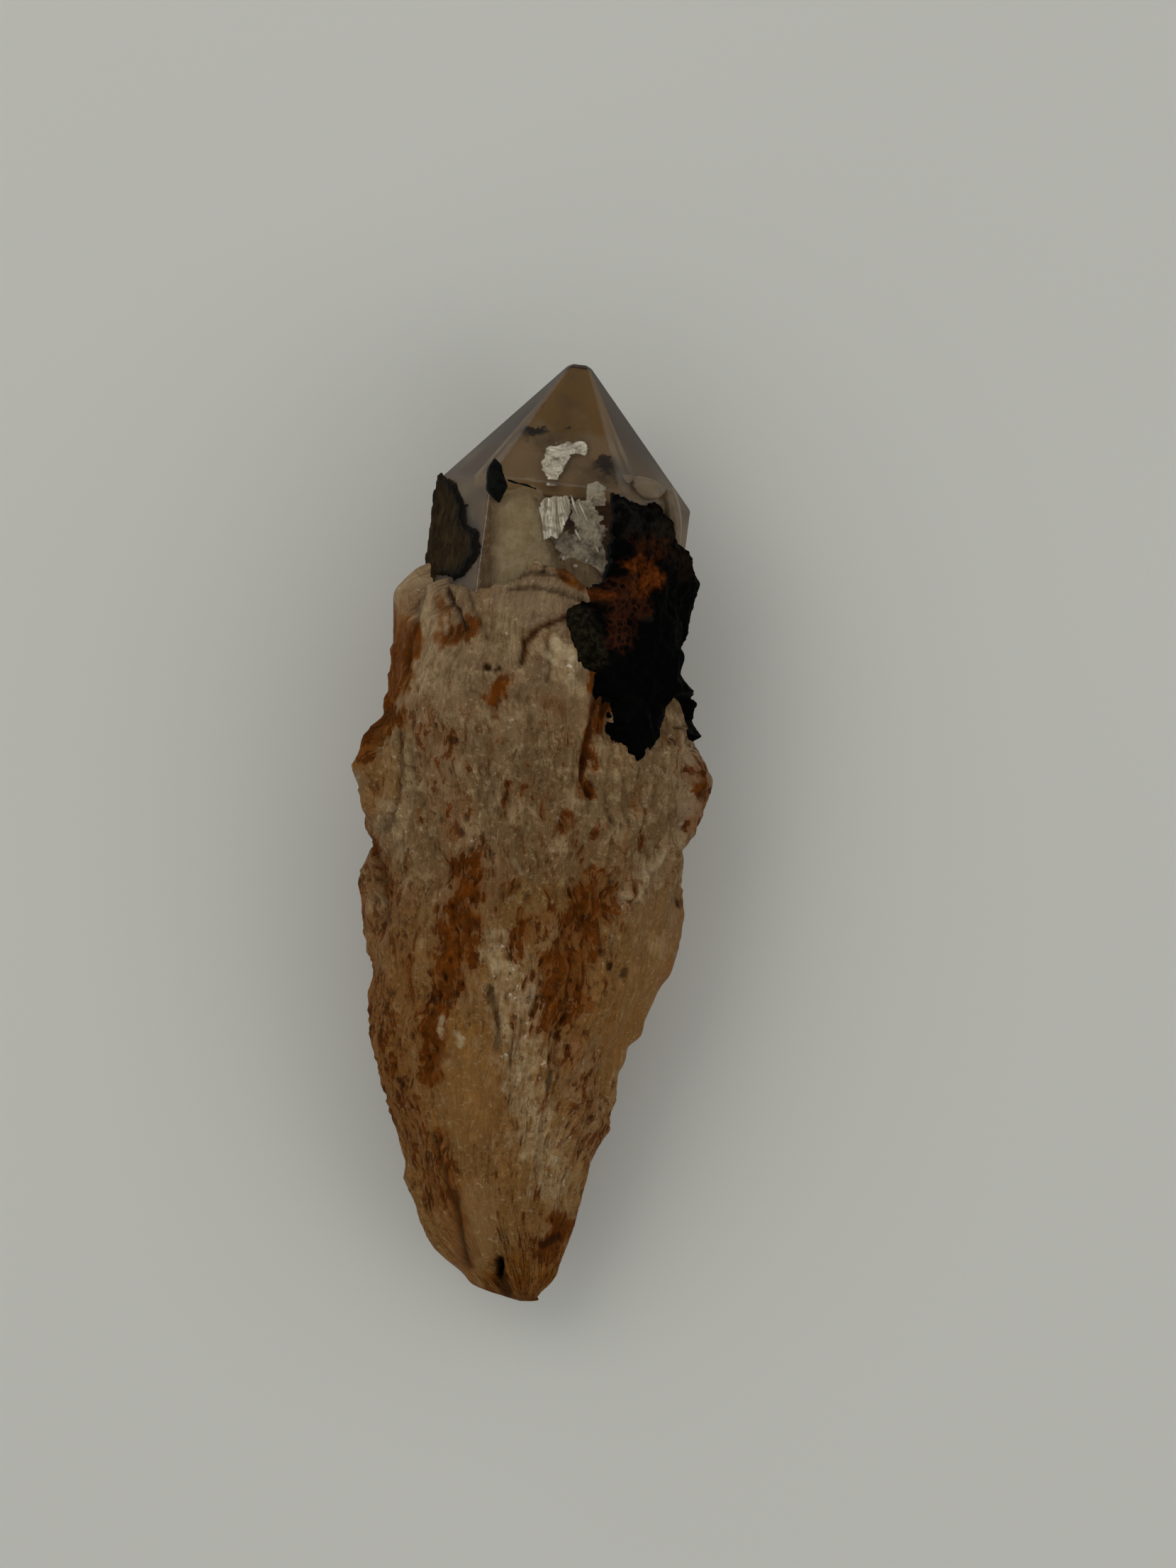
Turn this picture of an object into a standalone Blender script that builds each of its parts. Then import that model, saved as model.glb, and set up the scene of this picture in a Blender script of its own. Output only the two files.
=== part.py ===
"""A natural citrine crystal: a clear six-sided point in a sheath of milky sub-crystals, with black iron oxide.

The crystal lies on its back on the plane Z = 0. X runs across it, Y runs from its broken root to its tip, and Z is up.
The origin is on the plane, under the middle of the crystal. Tables are in millimetres and MM turns them to metres.
"""

import math
import random

import bmesh
import bpy
from mathutils import Matrix, Vector
from mathutils.bvhtree import BVHTree

MM = 0.001
GAP = 0.3 * MM

# The clear point. It is six-sided, leans a little to the right, and its worn tip ends in a small flat.
POINT_TIP = (3.8, 37.5, 10.9)
POINT_LEAN = math.radians(7.5)
POINT_ROLL = math.radians(-4.0)
POINT_RADIUS = 10.2
POINT_SLOPE = math.radians(38.2)
TIP_FLAT_RADIUS = 0.8
POINT_LENGTH = 40.0

# The body under the sub-crystals: distance along, left edge, right edge, half depth, height of the middle.
BODY_SECTIONS = (
    (-38.0, -0.9, 0.0, 0.5, 5.6),
    (-37.6, -3.0, 0.3, 1.3, 5.6),
    (-36.7, -4.4, 1.4, 2.1, 5.7),
    (-35.4, -5.9, 2.0, 2.9, 5.9),
    (-33.3, -7.9, 2.6, 3.8, 6.3),
    (-30.1, -9.2, 3.5, 5.0, 7.0),
    (-26.5, -10.4, 4.6, 6.2, 7.7),
    (-22.7, -11.2, 6.1, 7.3, 8.4),
    (-18.4, -12.7, 6.9, 8.3, 9.0),
    (-13.6, -12.9, 9.0, 9.6, 9.2),
    (-8.0, -12.8, 11.2, 10.5, 9.5),
    (-1.5, -12.4, 11.9, 10.9, 9.7),
    (4.5, -12.2, 12.3, 10.9, 9.8),
    (10.2, -11.4, 11.4, 10.5, 9.9),
    (14.5, -11.0, 11.0, 9.8, 10.3),
    (18.0, -10.3, 10.6, 8.6, 10.8),
)
BODY_SIDES = 14
CORNER_FULLNESS = 0.86

# How far the body's corners are knocked out of true: outward as a share of the half depth, along in millimetres but
# never more than a share of the spacing, and round as a share of one side.
BODY_JITTER = 0.04
BODY_SLIDE = 1.5
BODY_SLIDE_SHARE = 0.4
BODY_TWIST = 0.25

# Where along the crystal its middle line passes from the body's to the point's, and how far out a look at it starts.
MIDDLE_CHANGE = (5.0, 18.0)
LOOK_FROM = 30.0

# Sub-crystals that show in outline: tip, foot, half width, half thickness, turn to the right in degrees, length of
# the point, width of the foot against the shoulder, and how far its apex is off centre towards the right.
EDGE_CRYSTALS = (
    ((-9.6, 22.2, 9.8), (-9.7, 11.0, 9.8), 1.8, 2.6, 0, 2.6, 0.9, 0.5),
    ((-10.3, 16.5, 10.5), (-9.9, 8.0, 10.5), 1.3, 3.0, 8, 1.4, 0.9, 0.0),
    ((-11.2, 12.1, 10.8), (-10.6, 6.0, 10.8), 1.0, 2.0, -6, 1.0, 0.8, 0.0),
    ((-11.6, 9.7, 11.0), (-10.8, -0.7, 10.8), 2.8, 3.0, -6, 4.0, 0.45, -0.25),
    ((-12.1, 0.0, 10.4), (-11.0, -12.6, 9.6), 2.1, 3.2, 6, 3.3, 0.75, -0.2),
    ((-11.7, -11.4, 9.6), (-9.2, -23.5, 8.6), 1.6, 2.6, -5, 2.4, 0.7, -0.3),
    ((-9.6, -26.5, 7.2), (-4.2, -36.6, 6.0), 1.4, 2.2, 0, 1.2, 0.6, -0.6),
    ((12.0, 7.9, 10.8), (11.3, -0.9, 10.6), 2.3, 3.2, 10, 3.5, 0.6, 0.35),
    ((8.8, -0.3, 11.6), (7.4, -16.5, 10.2), 3.6, 3.6, 10, 4.6, 0.5, 0.9),
    ((8.4, -6.9, 10.0), (3.4, -22.0, 8.8), 3.6, 3.4, -8, 3.4, 0.5, 0.2),
    ((5.5, -17.0, 8.4), (2.2, -30.0, 7.0), 1.7, 2.6, 6, 2.1, 0.6, 0.2),
    ((2.6, -27.1, 6.8), (-0.4, -37.0, 5.8), 1.5, 2.0, 0, 1.7, 0.6, 0.4),
)

# Sub-crystals on the front, with the same columns. The first three are the growth steps of one crystal.
FRONT_CRYSTALS = (
    ((1.1, 21.4, 19.4), (0.6, 0.0, 17.6), 2.9, 1.0, 0, 2.2, 0.9, -0.3),
    ((1.2, 20.6, 19.7), (0.7, 0.0, 17.8), 3.2, 1.0, 0, 2.4, 0.9, -0.3),
    ((1.5, 19.6, 20.0), (0.9, 0.0, 18.0), 3.5, 1.0, 2, 2.6, 0.9, -0.2),
    ((1.9, 17.7, 20.3), (1.4, -6.0, 18.0), 3.0, 1.2, 6, 4.3, 0.8, 0.9),
    ((-7.4, 20.6, 14.2), (-6.4, 2.0, 13.0), 2.0, 1.8, -48, 2.2, 0.9, 0.0),
    ((-4.3, 15.8, 18.6), (-3.4, -4.0, 16.6), 1.7, 1.4, -22, 1.9, 0.8, -0.2),
    ((-7.0, 13.4, 16.4), (-5.6, -7.0, 14.2), 1.7, 1.6, -38, 1.7, 0.8, 0.1),
    ((7.1, 10.0, 18.0), (4.4, -13.0, 15.4), 2.3, 1.6, 24, 2.8, 0.7, 0.2),
    ((10.2, 7.5, 15.0), (6.4, -10.0, 12.6), 2.0, 2.0, 46, 2.5, 0.7, 0.2),
    ((9.1, -0.6, 15.2), (4.0, -21.0, 10.4), 3.3, 2.4, 36, 5.8, 0.5, 0.85),
    ((-4.9, -15.8, 16.2), (-2.8, -32.0, 7.6), 2.5, 1.6, -18, 2.2, 0.6, 0.0),
    ((-4.8, -27.8, 10.8), (-2.6, -36.2, 5.6), 1.8, 1.4, -14, 1.7, 0.6, 0.0),
    ((-0.9, -8.6, 19.0), (-0.9, -32.0, 8.6), 2.1, 1.4, 0, 2.4, 0.7, 0.0),
    ((3.4, -20.9, 12.8), (0.8, -35.0, 5.8), 2.0, 1.6, 30, 2.2, 0.6, 0.2),
    ((-9.0, -3.3, 15.6), (-6.4, -24.5, 9.0), 1.9, 1.8, -44, 2.2, 0.7, 0.0),
)
APEX_LIFT = 0.5
CRYSTAL_SIDES = 6

# Rings of smaller sub-crystals that lie along the body: how far along the tips are, how many, and their length.
SHEATH_RINGS = (
    (16.0, 10, 20.0),
    (7.0, 12, 24.0),
    (-4.0, 12, 22.0),
    (-15.0, 10, 18.0),
)
RING_HALF_WIDTH = 2.2
RING_HALF_THICKNESS = 1.3
RING_POINT = 2.4
RING_FOOT = 0.7
RING_FOOT_LIMIT = -33.0
RING_TIP_SUNK = 0.5
RING_FOOT_SUNK = 2.4

# How much the crystals of a ring differ: place along, place round as a share of the spacing, size, how deep the tip
# is sunk, turn in degrees and how far the apex is off centre.
RING_SLIDE = 2.4
RING_TWIST = 0.3
RING_SIZES = (0.7, 1.25)
RING_DEPTHS = (0.6, 1.2)
RING_TURN = 9.0
RING_APEX_SIDE = 0.7

# Pits in the sheath: how many, the half width, half length and half depth of the typical one, the range of sizes, the
# part of the body they are in, the ends of the line that looks for the surface, and the step that gives the grain.
PIT_COUNT = 34
PIT_SIZE = (0.42, 1.15, 0.5)
PIT_SIZES = (0.6, 1.3)
PIT_SPAN = (-33.0, 13.0)
PIT_LOOK = (8.0, -6.0)
PIT_GRAIN_STEP = 3.0

# The hole by the broken root: place and half sizes.
ROOT_HOLE = ((-2.9, -34.7, 8.6), (0.6, 1.1, 1.6))

# Iron oxide lumps in rows round the right shoulder: distance along, first and last angle in degrees, lump size.
CRUST_ROWS = (
    (26.0, 57, 40, 0.9),
    (24.3, 60, 28, 1.2),
    (22.4, 60, 12, 1.4),
    (20.3, 62, 6, 1.5),
    (18.2, 64, 4, 1.5),
    (16.1, 64, 10, 1.45),
    (14.0, 66, 14, 1.45),
    (11.9, 65, 26, 1.35),
    (9.8, 58, 38, 1.2),
    (7.9, 54, 44, 1.1),
    (6.8, 49, 49, 0.9),
    (11.6, 17, 17, 1.0),
    (10.5, 13, 13, 0.9),
    (9.5, 9, 9, 0.9),
    (8.6, 6, 6, 0.85),
)
CRUST_STEP = 13.0
CRUST_SLIDE = 0.3
CRUST_PROUD = 0.3
CRUST_SPREAD = 1.25
CRUST_FLATNESS = 0.72
LUMP_SIZES = (0.9, 1.2)
LUMP_ROUGHNESS = (0.82, 1.12)

# The lump the others join: distance along, angle in degrees and half sizes. The grey lump: place, half sizes, turn.
CRUST_HEART = (18.0, 35.0, (2.2, 4.0, 2.2))
GREY_LUMP = ((3.7, 15.7), (1.3, 2.4, 0.9), -14.0)

# The oxide plate on the left face of the point: points across the face from its left edge, and along the point.
FILM_OUTLINE = (
    (0.2, 29.2),
    (2.8, 29.4),
    (4.5, 28.5),
    (5.7, 27.9),
    (6.2, 26.3),
    (8.7, 25.7),
    (9.1, 24.2),
    (8.0, 23.1),
    (7.0, 22.2),
    (5.2, 21.8),
    (3.8, 22.1),
    (2.3, 21.9),
    (1.5, 21.2),
    (0.2, 20.1),
)
FILM_THICKNESS = 0.7
FILM_PROUD = 0.12
FILM_CORNER_SPREAD = 1.3

# The dark mineral grain: centre, half sizes and turn in degrees.
GRAIN_CENTRE = (-2.6, 27.6, 19.2)
GRAIN_SIZE = (0.85, 1.85, 0.9)
GRAIN_TURN = 4.0

BENCH_CUT = (60.0, 100.0, 5.0)

# Colours as the materials show them: red, green, blue, roughness.
LOOKS = {
    "quartz_crystal": (0.46, 0.36, 0.25, 0.35),
    "iron_oxide_crust": (0.02, 0.018, 0.016, 0.55),
    "left_oxide_film": (0.09, 0.07, 0.05, 0.6),
    "dark_grain": (0.03, 0.035, 0.03, 0.4),
}


def vector_mm(values):
    """A place given in millimetres, in metres."""
    return Vector(values) * MM


def clear_scene():
    for item in list(bpy.data.objects):
        bpy.data.objects.remove(item, do_unlink=True)


def new_collection(name, parent=None):
    collection = bpy.data.collections.new(name)
    home = parent or bpy.context.scene.collection
    home.children.link(collection)
    return collection


def new_object(name, bm, collection):
    """Turns a bmesh into an object in a collection, with its faces pointing out."""
    bmesh.ops.recalc_face_normals(bm, faces=bm.faces)
    mesh = bpy.data.meshes.new(name)
    bm.to_mesh(mesh)
    bm.free()
    item = bpy.data.objects.new(name, mesh)
    collection.objects.link(item)
    return item


def as_cutter(item):
    item.hide_render = True
    item.display_type = "WIRE"
    return item


def give_material(item):
    red, green, blue, roughness = LOOKS[item.name]
    material = bpy.data.materials.new(item.name)
    material.use_nodes = True
    shader = material.node_tree.nodes["Principled BSDF"]
    shader.inputs["Base Color"].default_value = (red, green, blue, 1.0)
    shader.inputs["Roughness"].default_value = roughness
    shader.inputs["Metallic"].default_value = 0.0
    item.data.materials.append(material)


def boolean(item, operation, tool):
    """Adds an exact Boolean modifier that takes one object or a whole collection."""
    modifier = item.modifiers.new(operation.lower(), "BOOLEAN")
    modifier.operation = operation
    modifier.solver = "EXACT"
    if isinstance(tool, bpy.types.Collection):
        modifier.operand_type = "COLLECTION"
        modifier.collection = tool
    else:
        modifier.object = tool


def frame_along(direction, roll):
    """A rotation whose Z axis is the direction and whose X axis is level before the roll."""
    forward = direction.normalized()
    side = Vector((0, 0, 1)).cross(forward)
    if side.length < 1e-6:
        side = Vector((1, 0, 0))
    side.normalize()
    up = forward.cross(side)
    turn = Matrix((side, up, forward)).transposed().to_4x4()
    return turn @ Matrix.Rotation(roll, 4, "Z")


def point_frame():
    """Carries the clear point's own frame, with Z up its axis and zero at its foot, to its place."""
    axis = Vector((math.sin(POINT_LEAN), math.cos(POINT_LEAN), 0))
    foot = vector_mm(POINT_TIP) - axis * POINT_LENGTH * MM
    return Matrix.Translation(foot) @ frame_along(axis, POINT_ROLL)


def add_clear_point(name, collection, grow=0.0):
    """A six-sided prism under a six-faced point, with the tip worn to a small flat."""
    radius = POINT_RADIUS * MM + grow / math.cos(math.pi / CRYSTAL_SIDES)
    tip_radius = TIP_FLAT_RADIUS * MM + grow
    taper = radius - tip_radius
    point_height = taper * math.cos(math.pi / CRYSTAL_SIDES) / math.tan(POINT_SLOPE)
    length = POINT_LENGTH * MM + grow
    prism_length = length - point_height
    bm = bmesh.new()
    bmesh.ops.create_cone(
        bm,
        cap_ends=True,
        segments=CRYSTAL_SIDES,
        radius1=radius,
        radius2=radius,
        depth=prism_length,
        matrix=Matrix.Translation((0, 0, prism_length / 2)) @ Matrix.Rotation(math.pi / CRYSTAL_SIDES, 4, "Z"),
    )
    cap = max(bm.faces, key=lambda face: face.calc_center_median().z)
    grown = bmesh.ops.extrude_discrete_faces(bm, faces=[cap])
    for corner in grown["faces"][0].verts:
        corner.co = Vector((corner.co.x * tip_radius / radius, corner.co.y * tip_radius / radius, length))
    bmesh.ops.transform(bm, verts=bm.verts, matrix=point_frame())
    return new_object(name, bm, collection)


def add_sub_crystal(name, collection, row, grow=0.0):
    """A six-sided crystal that narrows to its foot, flattened across, with its apex off centre."""
    tip, foot, half_width, half_thickness, turn, point, foot_share, apex_side = row
    tip = vector_mm(tip)
    foot = vector_mm(foot)
    along = tip - foot
    length = along.length + grow
    point_height = point * MM
    bm = bmesh.new()
    bmesh.ops.create_cone(
        bm,
        cap_ends=True,
        segments=CRYSTAL_SIDES,
        radius1=foot_share,
        radius2=1.0,
        depth=length - point_height,
        matrix=Matrix.Rotation(math.pi / CRYSTAL_SIDES, 4, "Z"),
    )
    cap = max(bm.faces, key=lambda face: face.calc_center_median().z)
    apex = bmesh.ops.poke(bm, faces=[cap], offset=point_height)["verts"][0]
    apex.co.x -= apex_side
    apex.co.y += APEX_LIFT
    middle = Matrix.Translation(foot + along.normalized() * (length - point_height) / 2)
    widths = Matrix.Diagonal((half_width * MM + grow, half_thickness * MM + grow, 1, 1))
    placed = middle @ frame_along(along, math.radians(turn)) @ widths
    bmesh.ops.transform(bm, verts=bm.verts, matrix=placed)
    return new_object(name, bm, collection)


def body_section(distance):
    """Middle, half width, half depth and height of the body at a distance along, between the stated sections."""
    rows = BODY_SECTIONS
    distance = min(max(distance, rows[0][0]), rows[-1][0])
    low, high = next(pair for pair in zip(rows, rows[1:]) if distance <= pair[1][0])
    share = (distance - low[0]) / (high[0] - low[0])
    left, right, depth, height = (a + (b - a) * share for a, b in zip(low[1:], high[1:]))
    return (left + right) / 2, (right - left) / 2, depth, height


def body_place(distance, angle, proud=0.0):
    """A place on the body, in millimetres: the section is an ellipse with fuller corners."""
    middle, half_width, half_depth, height = body_section(distance)
    cosine = math.cos(angle)
    sine = math.sin(angle)
    across = math.copysign(abs(cosine) ** CORNER_FULLNESS, cosine)
    up = math.copysign(abs(sine) ** CORNER_FULLNESS, sine)
    return Vector((middle + (half_width + proud) * across, distance, height + (half_depth + proud) * up))


def add_body(name, collection, grow=0.0):
    """Rings of corners along the body, joined side by side, each corner knocked a little out of true."""
    noise = random.Random(11)
    bm = bmesh.new()
    rings = []
    ends = {0: -grow / MM, len(BODY_SECTIONS) - 1: grow / MM}
    for number, row in enumerate(BODY_SECTIONS):
        spacing = row[0] - BODY_SECTIONS[number - 1][0] if number else 0.0
        slide = min(BODY_SLIDE, BODY_SLIDE_SHARE * spacing)
        ring = []
        for side in range(BODY_SIDES):
            angle = 2 * math.pi * (side + noise.uniform(-BODY_TWIST, BODY_TWIST)) / BODY_SIDES
            proud = noise.uniform(-1, 1) * BODY_JITTER * row[3] + grow / MM
            distance = row[0] + slide * noise.uniform(-1, 1)
            corner = body_place(distance, angle, proud)
            corner.y += ends.get(number, 0.0)
            ring.append(bm.verts.new(corner * MM))
        rings.append(ring)
    bm.faces.new(rings[0])
    bm.faces.new(reversed(rings[-1]))
    for low, high in zip(rings, rings[1:]):
        for side in range(BODY_SIDES):
            other = (side + 1) % BODY_SIDES
            bm.faces.new((low[side], low[other], high[other], high[side]))
    bmesh.ops.triangulate(bm, faces=bm.faces)
    return new_object(name, bm, collection)


def add_sheath(collection, grow=0.0):
    """Every sub-crystal of the sheath: the ones placed one by one, then the rings along the body."""
    for number, row in enumerate(EDGE_CRYSTALS + FRONT_CRYSTALS):
        add_sub_crystal(f"placed_{number}_{collection.name}", collection, row, grow)
    noise = random.Random(7)
    for ring, (distance, count, length) in enumerate(SHEATH_RINGS):
        for number in range(count):
            angle = 2 * math.pi * (number + 0.5 * ring + noise.uniform(-RING_TWIST, RING_TWIST)) / count
            tip_along = distance + noise.uniform(-RING_SLIDE, RING_SLIDE)
            size = noise.uniform(*RING_SIZES)
            tip = body_place(tip_along, angle, -RING_TIP_SUNK * size * noise.uniform(*RING_DEPTHS))
            foot_along = max(tip_along - length * size, RING_FOOT_LIMIT)
            foot = body_place(foot_along, angle, -RING_FOOT_SUNK)
            turn = 90.0 - math.degrees(angle) + noise.uniform(-RING_TURN, RING_TURN)
            apex_side = noise.uniform(-RING_APEX_SIDE, RING_APEX_SIDE)
            row = (
                tip,
                foot,
                RING_HALF_WIDTH * size,
                RING_HALF_THICKNESS * size,
                turn,
                RING_POINT * size,
                RING_FOOT,
                apex_side,
            )
            add_sub_crystal(f"ring_{ring}_{number}_{collection.name}", collection, row, grow)


def add_film(name, collection, grow=0.0):
    """The oxide plate: an outline filled as a flat curve, given its thickness and laid on the left face."""
    centre = Vector(FILM_OUTLINE[0]).lerp(Vector(FILM_OUTLINE[6]), 0.5)
    curve = bpy.data.curves.new(name, "CURVE")
    curve.dimensions = "2D"
    curve.fill_mode = "BOTH"
    curve.extrude = FILM_THICKNESS * MM / 2 + grow
    spline = curve.splines.new("POLY")
    spline.points.add(len(FILM_OUTLINE) - 1)
    spline.use_cyclic_u = True
    for point, corner in zip(spline.points, FILM_OUTLINE):
        away = (Vector(corner) - centre).normalized() * grow * FILM_CORNER_SPREAD
        point.co = (corner[0] * MM + away.x, corner[1] * MM + away.y, 0, 1)
    flat = bpy.data.objects.new(name, curve)
    collection.objects.link(flat)
    bpy.context.view_layer.update()
    evaluated = flat.evaluated_get(bpy.context.evaluated_depsgraph_get())
    bm = bmesh.new()
    mesh = bpy.data.meshes.new_from_object(evaluated)
    bm.from_mesh(mesh)
    bmesh.ops.remove_doubles(bm, verts=bm.verts, dist=1e-6)
    bpy.data.objects.remove(flat, do_unlink=True)
    bmesh.ops.transform(bm, verts=bm.verts, matrix=film_frame())
    return new_object(name, bm, collection)


def film_frame():
    """Carries the film's outline to the left face of the point: X across the face, Y along it, Z out of it."""
    face_turn = 2 * math.pi / CRYSTAL_SIDES
    left_corner = Vector((1, 0, 0)) * POINT_RADIUS * MM
    front_corner = Vector((math.cos(face_turn), math.sin(face_turn), 0)) * POINT_RADIUS * MM
    across = (front_corner - left_corner).normalized()
    along = Vector((0, 0, 1))
    out = along.cross(across) * -1
    lift = (FILM_PROUD - FILM_THICKNESS / 2) * MM
    basis = Matrix((across, along, out)).transposed().to_4x4()
    return point_frame() @ Matrix.Translation(left_corner + out * lift) @ basis


def add_grain(name, collection, grow=0.0):
    bm = bmesh.new()
    bmesh.ops.create_icosphere(bm, subdivisions=1, radius=1.0)
    size = Matrix.Diagonal(vector_mm(GRAIN_SIZE) + Vector((grow, grow, grow))).to_4x4()
    turn = Matrix.Rotation(math.radians(GRAIN_TURN), 4, "Z")
    place = Matrix.Translation(vector_mm(GRAIN_CENTRE))
    bmesh.ops.transform(bm, verts=bm.verts, matrix=place @ turn @ size)
    return new_object(name, bm, collection)


def add_growth(collection, grow=0.0):
    """The body and the sheath of sub-crystals, each as a shape to join to, or cut from, another."""
    add_body(f"body_{collection.name}", collection, grow)
    add_sheath(collection, grow)
    for item in collection.objects:
        as_cutter(item)


def surface_of(item):
    """The finished faces of an object, for finding places on it."""
    bpy.context.view_layer.update()
    return BVHTree.FromObject(item, bpy.context.evaluated_depsgraph_get())


def add_pits(quartz, collection):
    """Slim hollows that follow the grain of the sheath, each sunk where a line to the middle meets the surface."""
    surface = surface_of(quartz)
    noise = random.Random(23)
    low, high = PIT_SPAN
    for number in range(PIT_COUNT):
        distance = noise.uniform(low, high)
        angle = noise.uniform(0, 2 * math.pi)
        size = noise.uniform(*PIT_SIZES)
        outside, inside = (body_place(distance, angle, proud) * MM for proud in PIT_LOOK)
        further = body_place(distance - PIT_GRAIN_STEP, angle) * MM
        here = body_place(distance, angle) * MM
        hit = surface.ray_cast(outside, (inside - outside).normalized())
        if hit[0] is None or hit[0].z < MM:
            continue
        bm = bmesh.new()
        bmesh.ops.create_icosphere(bm, subdivisions=1, radius=1.0)
        half = Matrix.Diagonal(vector_mm((PIT_SIZE[0], PIT_SIZE[2], PIT_SIZE[1])) * size).to_4x4()
        grain = frame_along(here - further, noise.uniform(0, math.pi))
        bmesh.ops.transform(bm, verts=bm.verts, matrix=Matrix.Translation(hit[0]) @ grain @ half)
        as_cutter(new_object(f"pit_{number}", bm, collection))


def add_ellipsoid(name, collection, centre, size, turn=0.0, subdivisions=1):
    bm = bmesh.new()
    bmesh.ops.create_icosphere(bm, subdivisions=subdivisions, radius=1.0)
    half = Matrix.Diagonal(vector_mm(size)).to_4x4()
    place = Matrix.Translation(vector_mm(centre)) @ Matrix.Rotation(math.radians(turn), 4, "Z")
    bmesh.ops.transform(bm, verts=bm.verts, matrix=place @ half)
    return new_object(name, bm, collection)


def add_bench_cut(collection):
    """A block under the plane Z = 0. What it takes off leaves the flat face that the crystal rests on."""
    bm = bmesh.new()
    bmesh.ops.create_cube(bm, size=1.0)
    block = Matrix.Diagonal(vector_mm(BENCH_CUT)).to_4x4()
    bmesh.ops.transform(bm, verts=bm.verts, matrix=Matrix.Translation((0, 0, -BENCH_CUT[2] * MM / 2)) @ block)
    return as_cutter(new_object("bench_cut", bm, collection))


def add_quartz(parts, cutters, bench_cut):
    """The point with its pockets for the film and the grain, joined to the sheath, then pitted."""
    quartz = add_clear_point("quartz_crystal", parts)
    boolean(quartz, "DIFFERENCE", as_cutter(add_film("film_space", cutters, GAP)))
    boolean(quartz, "DIFFERENCE", as_cutter(add_grain("grain_space", cutters, GAP)))
    growth = new_collection("growth", cutters)
    add_growth(growth)
    boolean(quartz, "UNION", growth)
    boolean(quartz, "DIFFERENCE", bench_cut)
    pits = new_collection("pits", cutters)
    add_pits(quartz, pits)
    as_cutter(add_ellipsoid("root_hole", pits, *ROOT_HOLE))
    boolean(quartz, "DIFFERENCE", pits)
    return quartz


def middle_of_crystal(distance):
    """The middle of the crystal at a distance along, in metres, for looking at its surface from inside."""
    middle, _, _, height = body_section(distance)
    along_point = (distance - POINT_TIP[1]) * math.tan(POINT_LEAN) + POINT_TIP[0]
    start, end = MIDDLE_CHANGE
    share = min(max((distance - start) / (end - start), 0.0), 1.0)
    return vector_mm((middle + (along_point - middle) * share, distance, height))


def surface_place(surface, distance, angle):
    """The outermost place on the crystal at a distance along and an angle round it, and the way out there."""
    out = Vector((math.cos(angle), 0, math.sin(angle)))
    middle = middle_of_crystal(distance)
    hit = surface.ray_cast(middle + out * LOOK_FROM * MM, -out)
    return hit[0], out


def add_crust(parts, cutters, quartz, quartz_space):
    """Iron oxide: rows of rough lumps on the quartz, joined in one and cut back to clear what they sit on."""
    surface = surface_of(quartz)
    noise = random.Random(5)
    lumps = new_collection("crust_lumps", cutters)
    for row, (distance, first, last, size) in enumerate(CRUST_ROWS):
        count = round((first - last) / CRUST_STEP) + 1
        for number in range(count):
            share = number / max(count - 1, 1)
            angle = math.radians(first + (last - first) * share)
            place, out = surface_place(surface, distance + noise.uniform(-CRUST_SLIDE, CRUST_SLIDE), angle)
            half = [size * CRUST_SPREAD * noise.uniform(*LUMP_SIZES) for _ in range(3)]
            half[2] *= CRUST_FLATNESS
            add_lump(f"lump_{row}_{number}", lumps, place + out * CRUST_PROUD * MM, out, half, noise)
    (across, along), size, turn = GREY_LUMP
    top = surface.ray_cast(vector_mm((across, along, LOOK_FROM)), Vector((0, 0, -1)))[0]
    place = top / MM + Vector((0, 0, CRUST_PROUD))
    as_cutter(add_ellipsoid("grey_lump", lumps, place, size, turn))
    distance, angle, size = CRUST_HEART
    heart, _ = surface_place(surface, distance, math.radians(angle))
    crust = add_ellipsoid("iron_oxide_crust", parts, heart / MM, size, subdivisions=2)
    boolean(crust, "UNION", lumps)
    boolean(crust, "DIFFERENCE", quartz_space)
    return crust


def add_lump(name, collection, place, out, half, noise):
    """A rough, flattened ball with its corners pushed in and out, lying on the surface under it."""
    bm = bmesh.new()
    bmesh.ops.create_icosphere(bm, subdivisions=2, radius=1.0)
    for corner in bm.verts:
        corner.co *= noise.uniform(*LUMP_ROUGHNESS)
    size = Matrix.Diagonal(vector_mm(half)).to_4x4()
    spin = Matrix.Rotation(noise.uniform(0, math.pi), 4, "Z")
    lie = out.to_track_quat("Z", "Y").to_matrix().to_4x4()
    bmesh.ops.transform(bm, verts=bm.verts, matrix=Matrix.Translation(place) @ lie @ spin @ size)
    as_cutter(new_object(name, bm, collection))


def main():
    clear_scene()
    parts = new_collection("natural_citrine_crystal")
    cutters = new_collection("cutters")
    bench_cut = add_bench_cut(cutters)
    quartz = add_quartz(parts, cutters, bench_cut)

    sheath_space = new_collection("sheath_space", cutters)
    add_growth(sheath_space, GAP)
    point_space = new_collection("point_space", cutters)
    as_cutter(add_clear_point("point_with_gap", point_space, GAP))
    quartz_space = new_collection("quartz_space", cutters)
    quartz_space.children.link(sheath_space)
    quartz_space.children.link(point_space)

    crust = add_crust(parts, cutters, quartz, quartz_space)
    film = add_film("left_oxide_film", parts)
    boolean(film, "DIFFERENCE", sheath_space)
    grain = add_grain("dark_grain", parts)
    for item in (quartz, crust, film, grain):
        give_material(item)


main()
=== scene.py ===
"""The looks of a natural citrine crystal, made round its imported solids.

All tables and surfaces are in millimetres in the model's own frame: X across, Y from the broken root to the tip and
Z up. A place "on plan" is where the camera sees it on the level plane through the middle of the crystal. Lines and
outlines on plan are given as x, y, x, y and so on.
"""

import math

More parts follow.
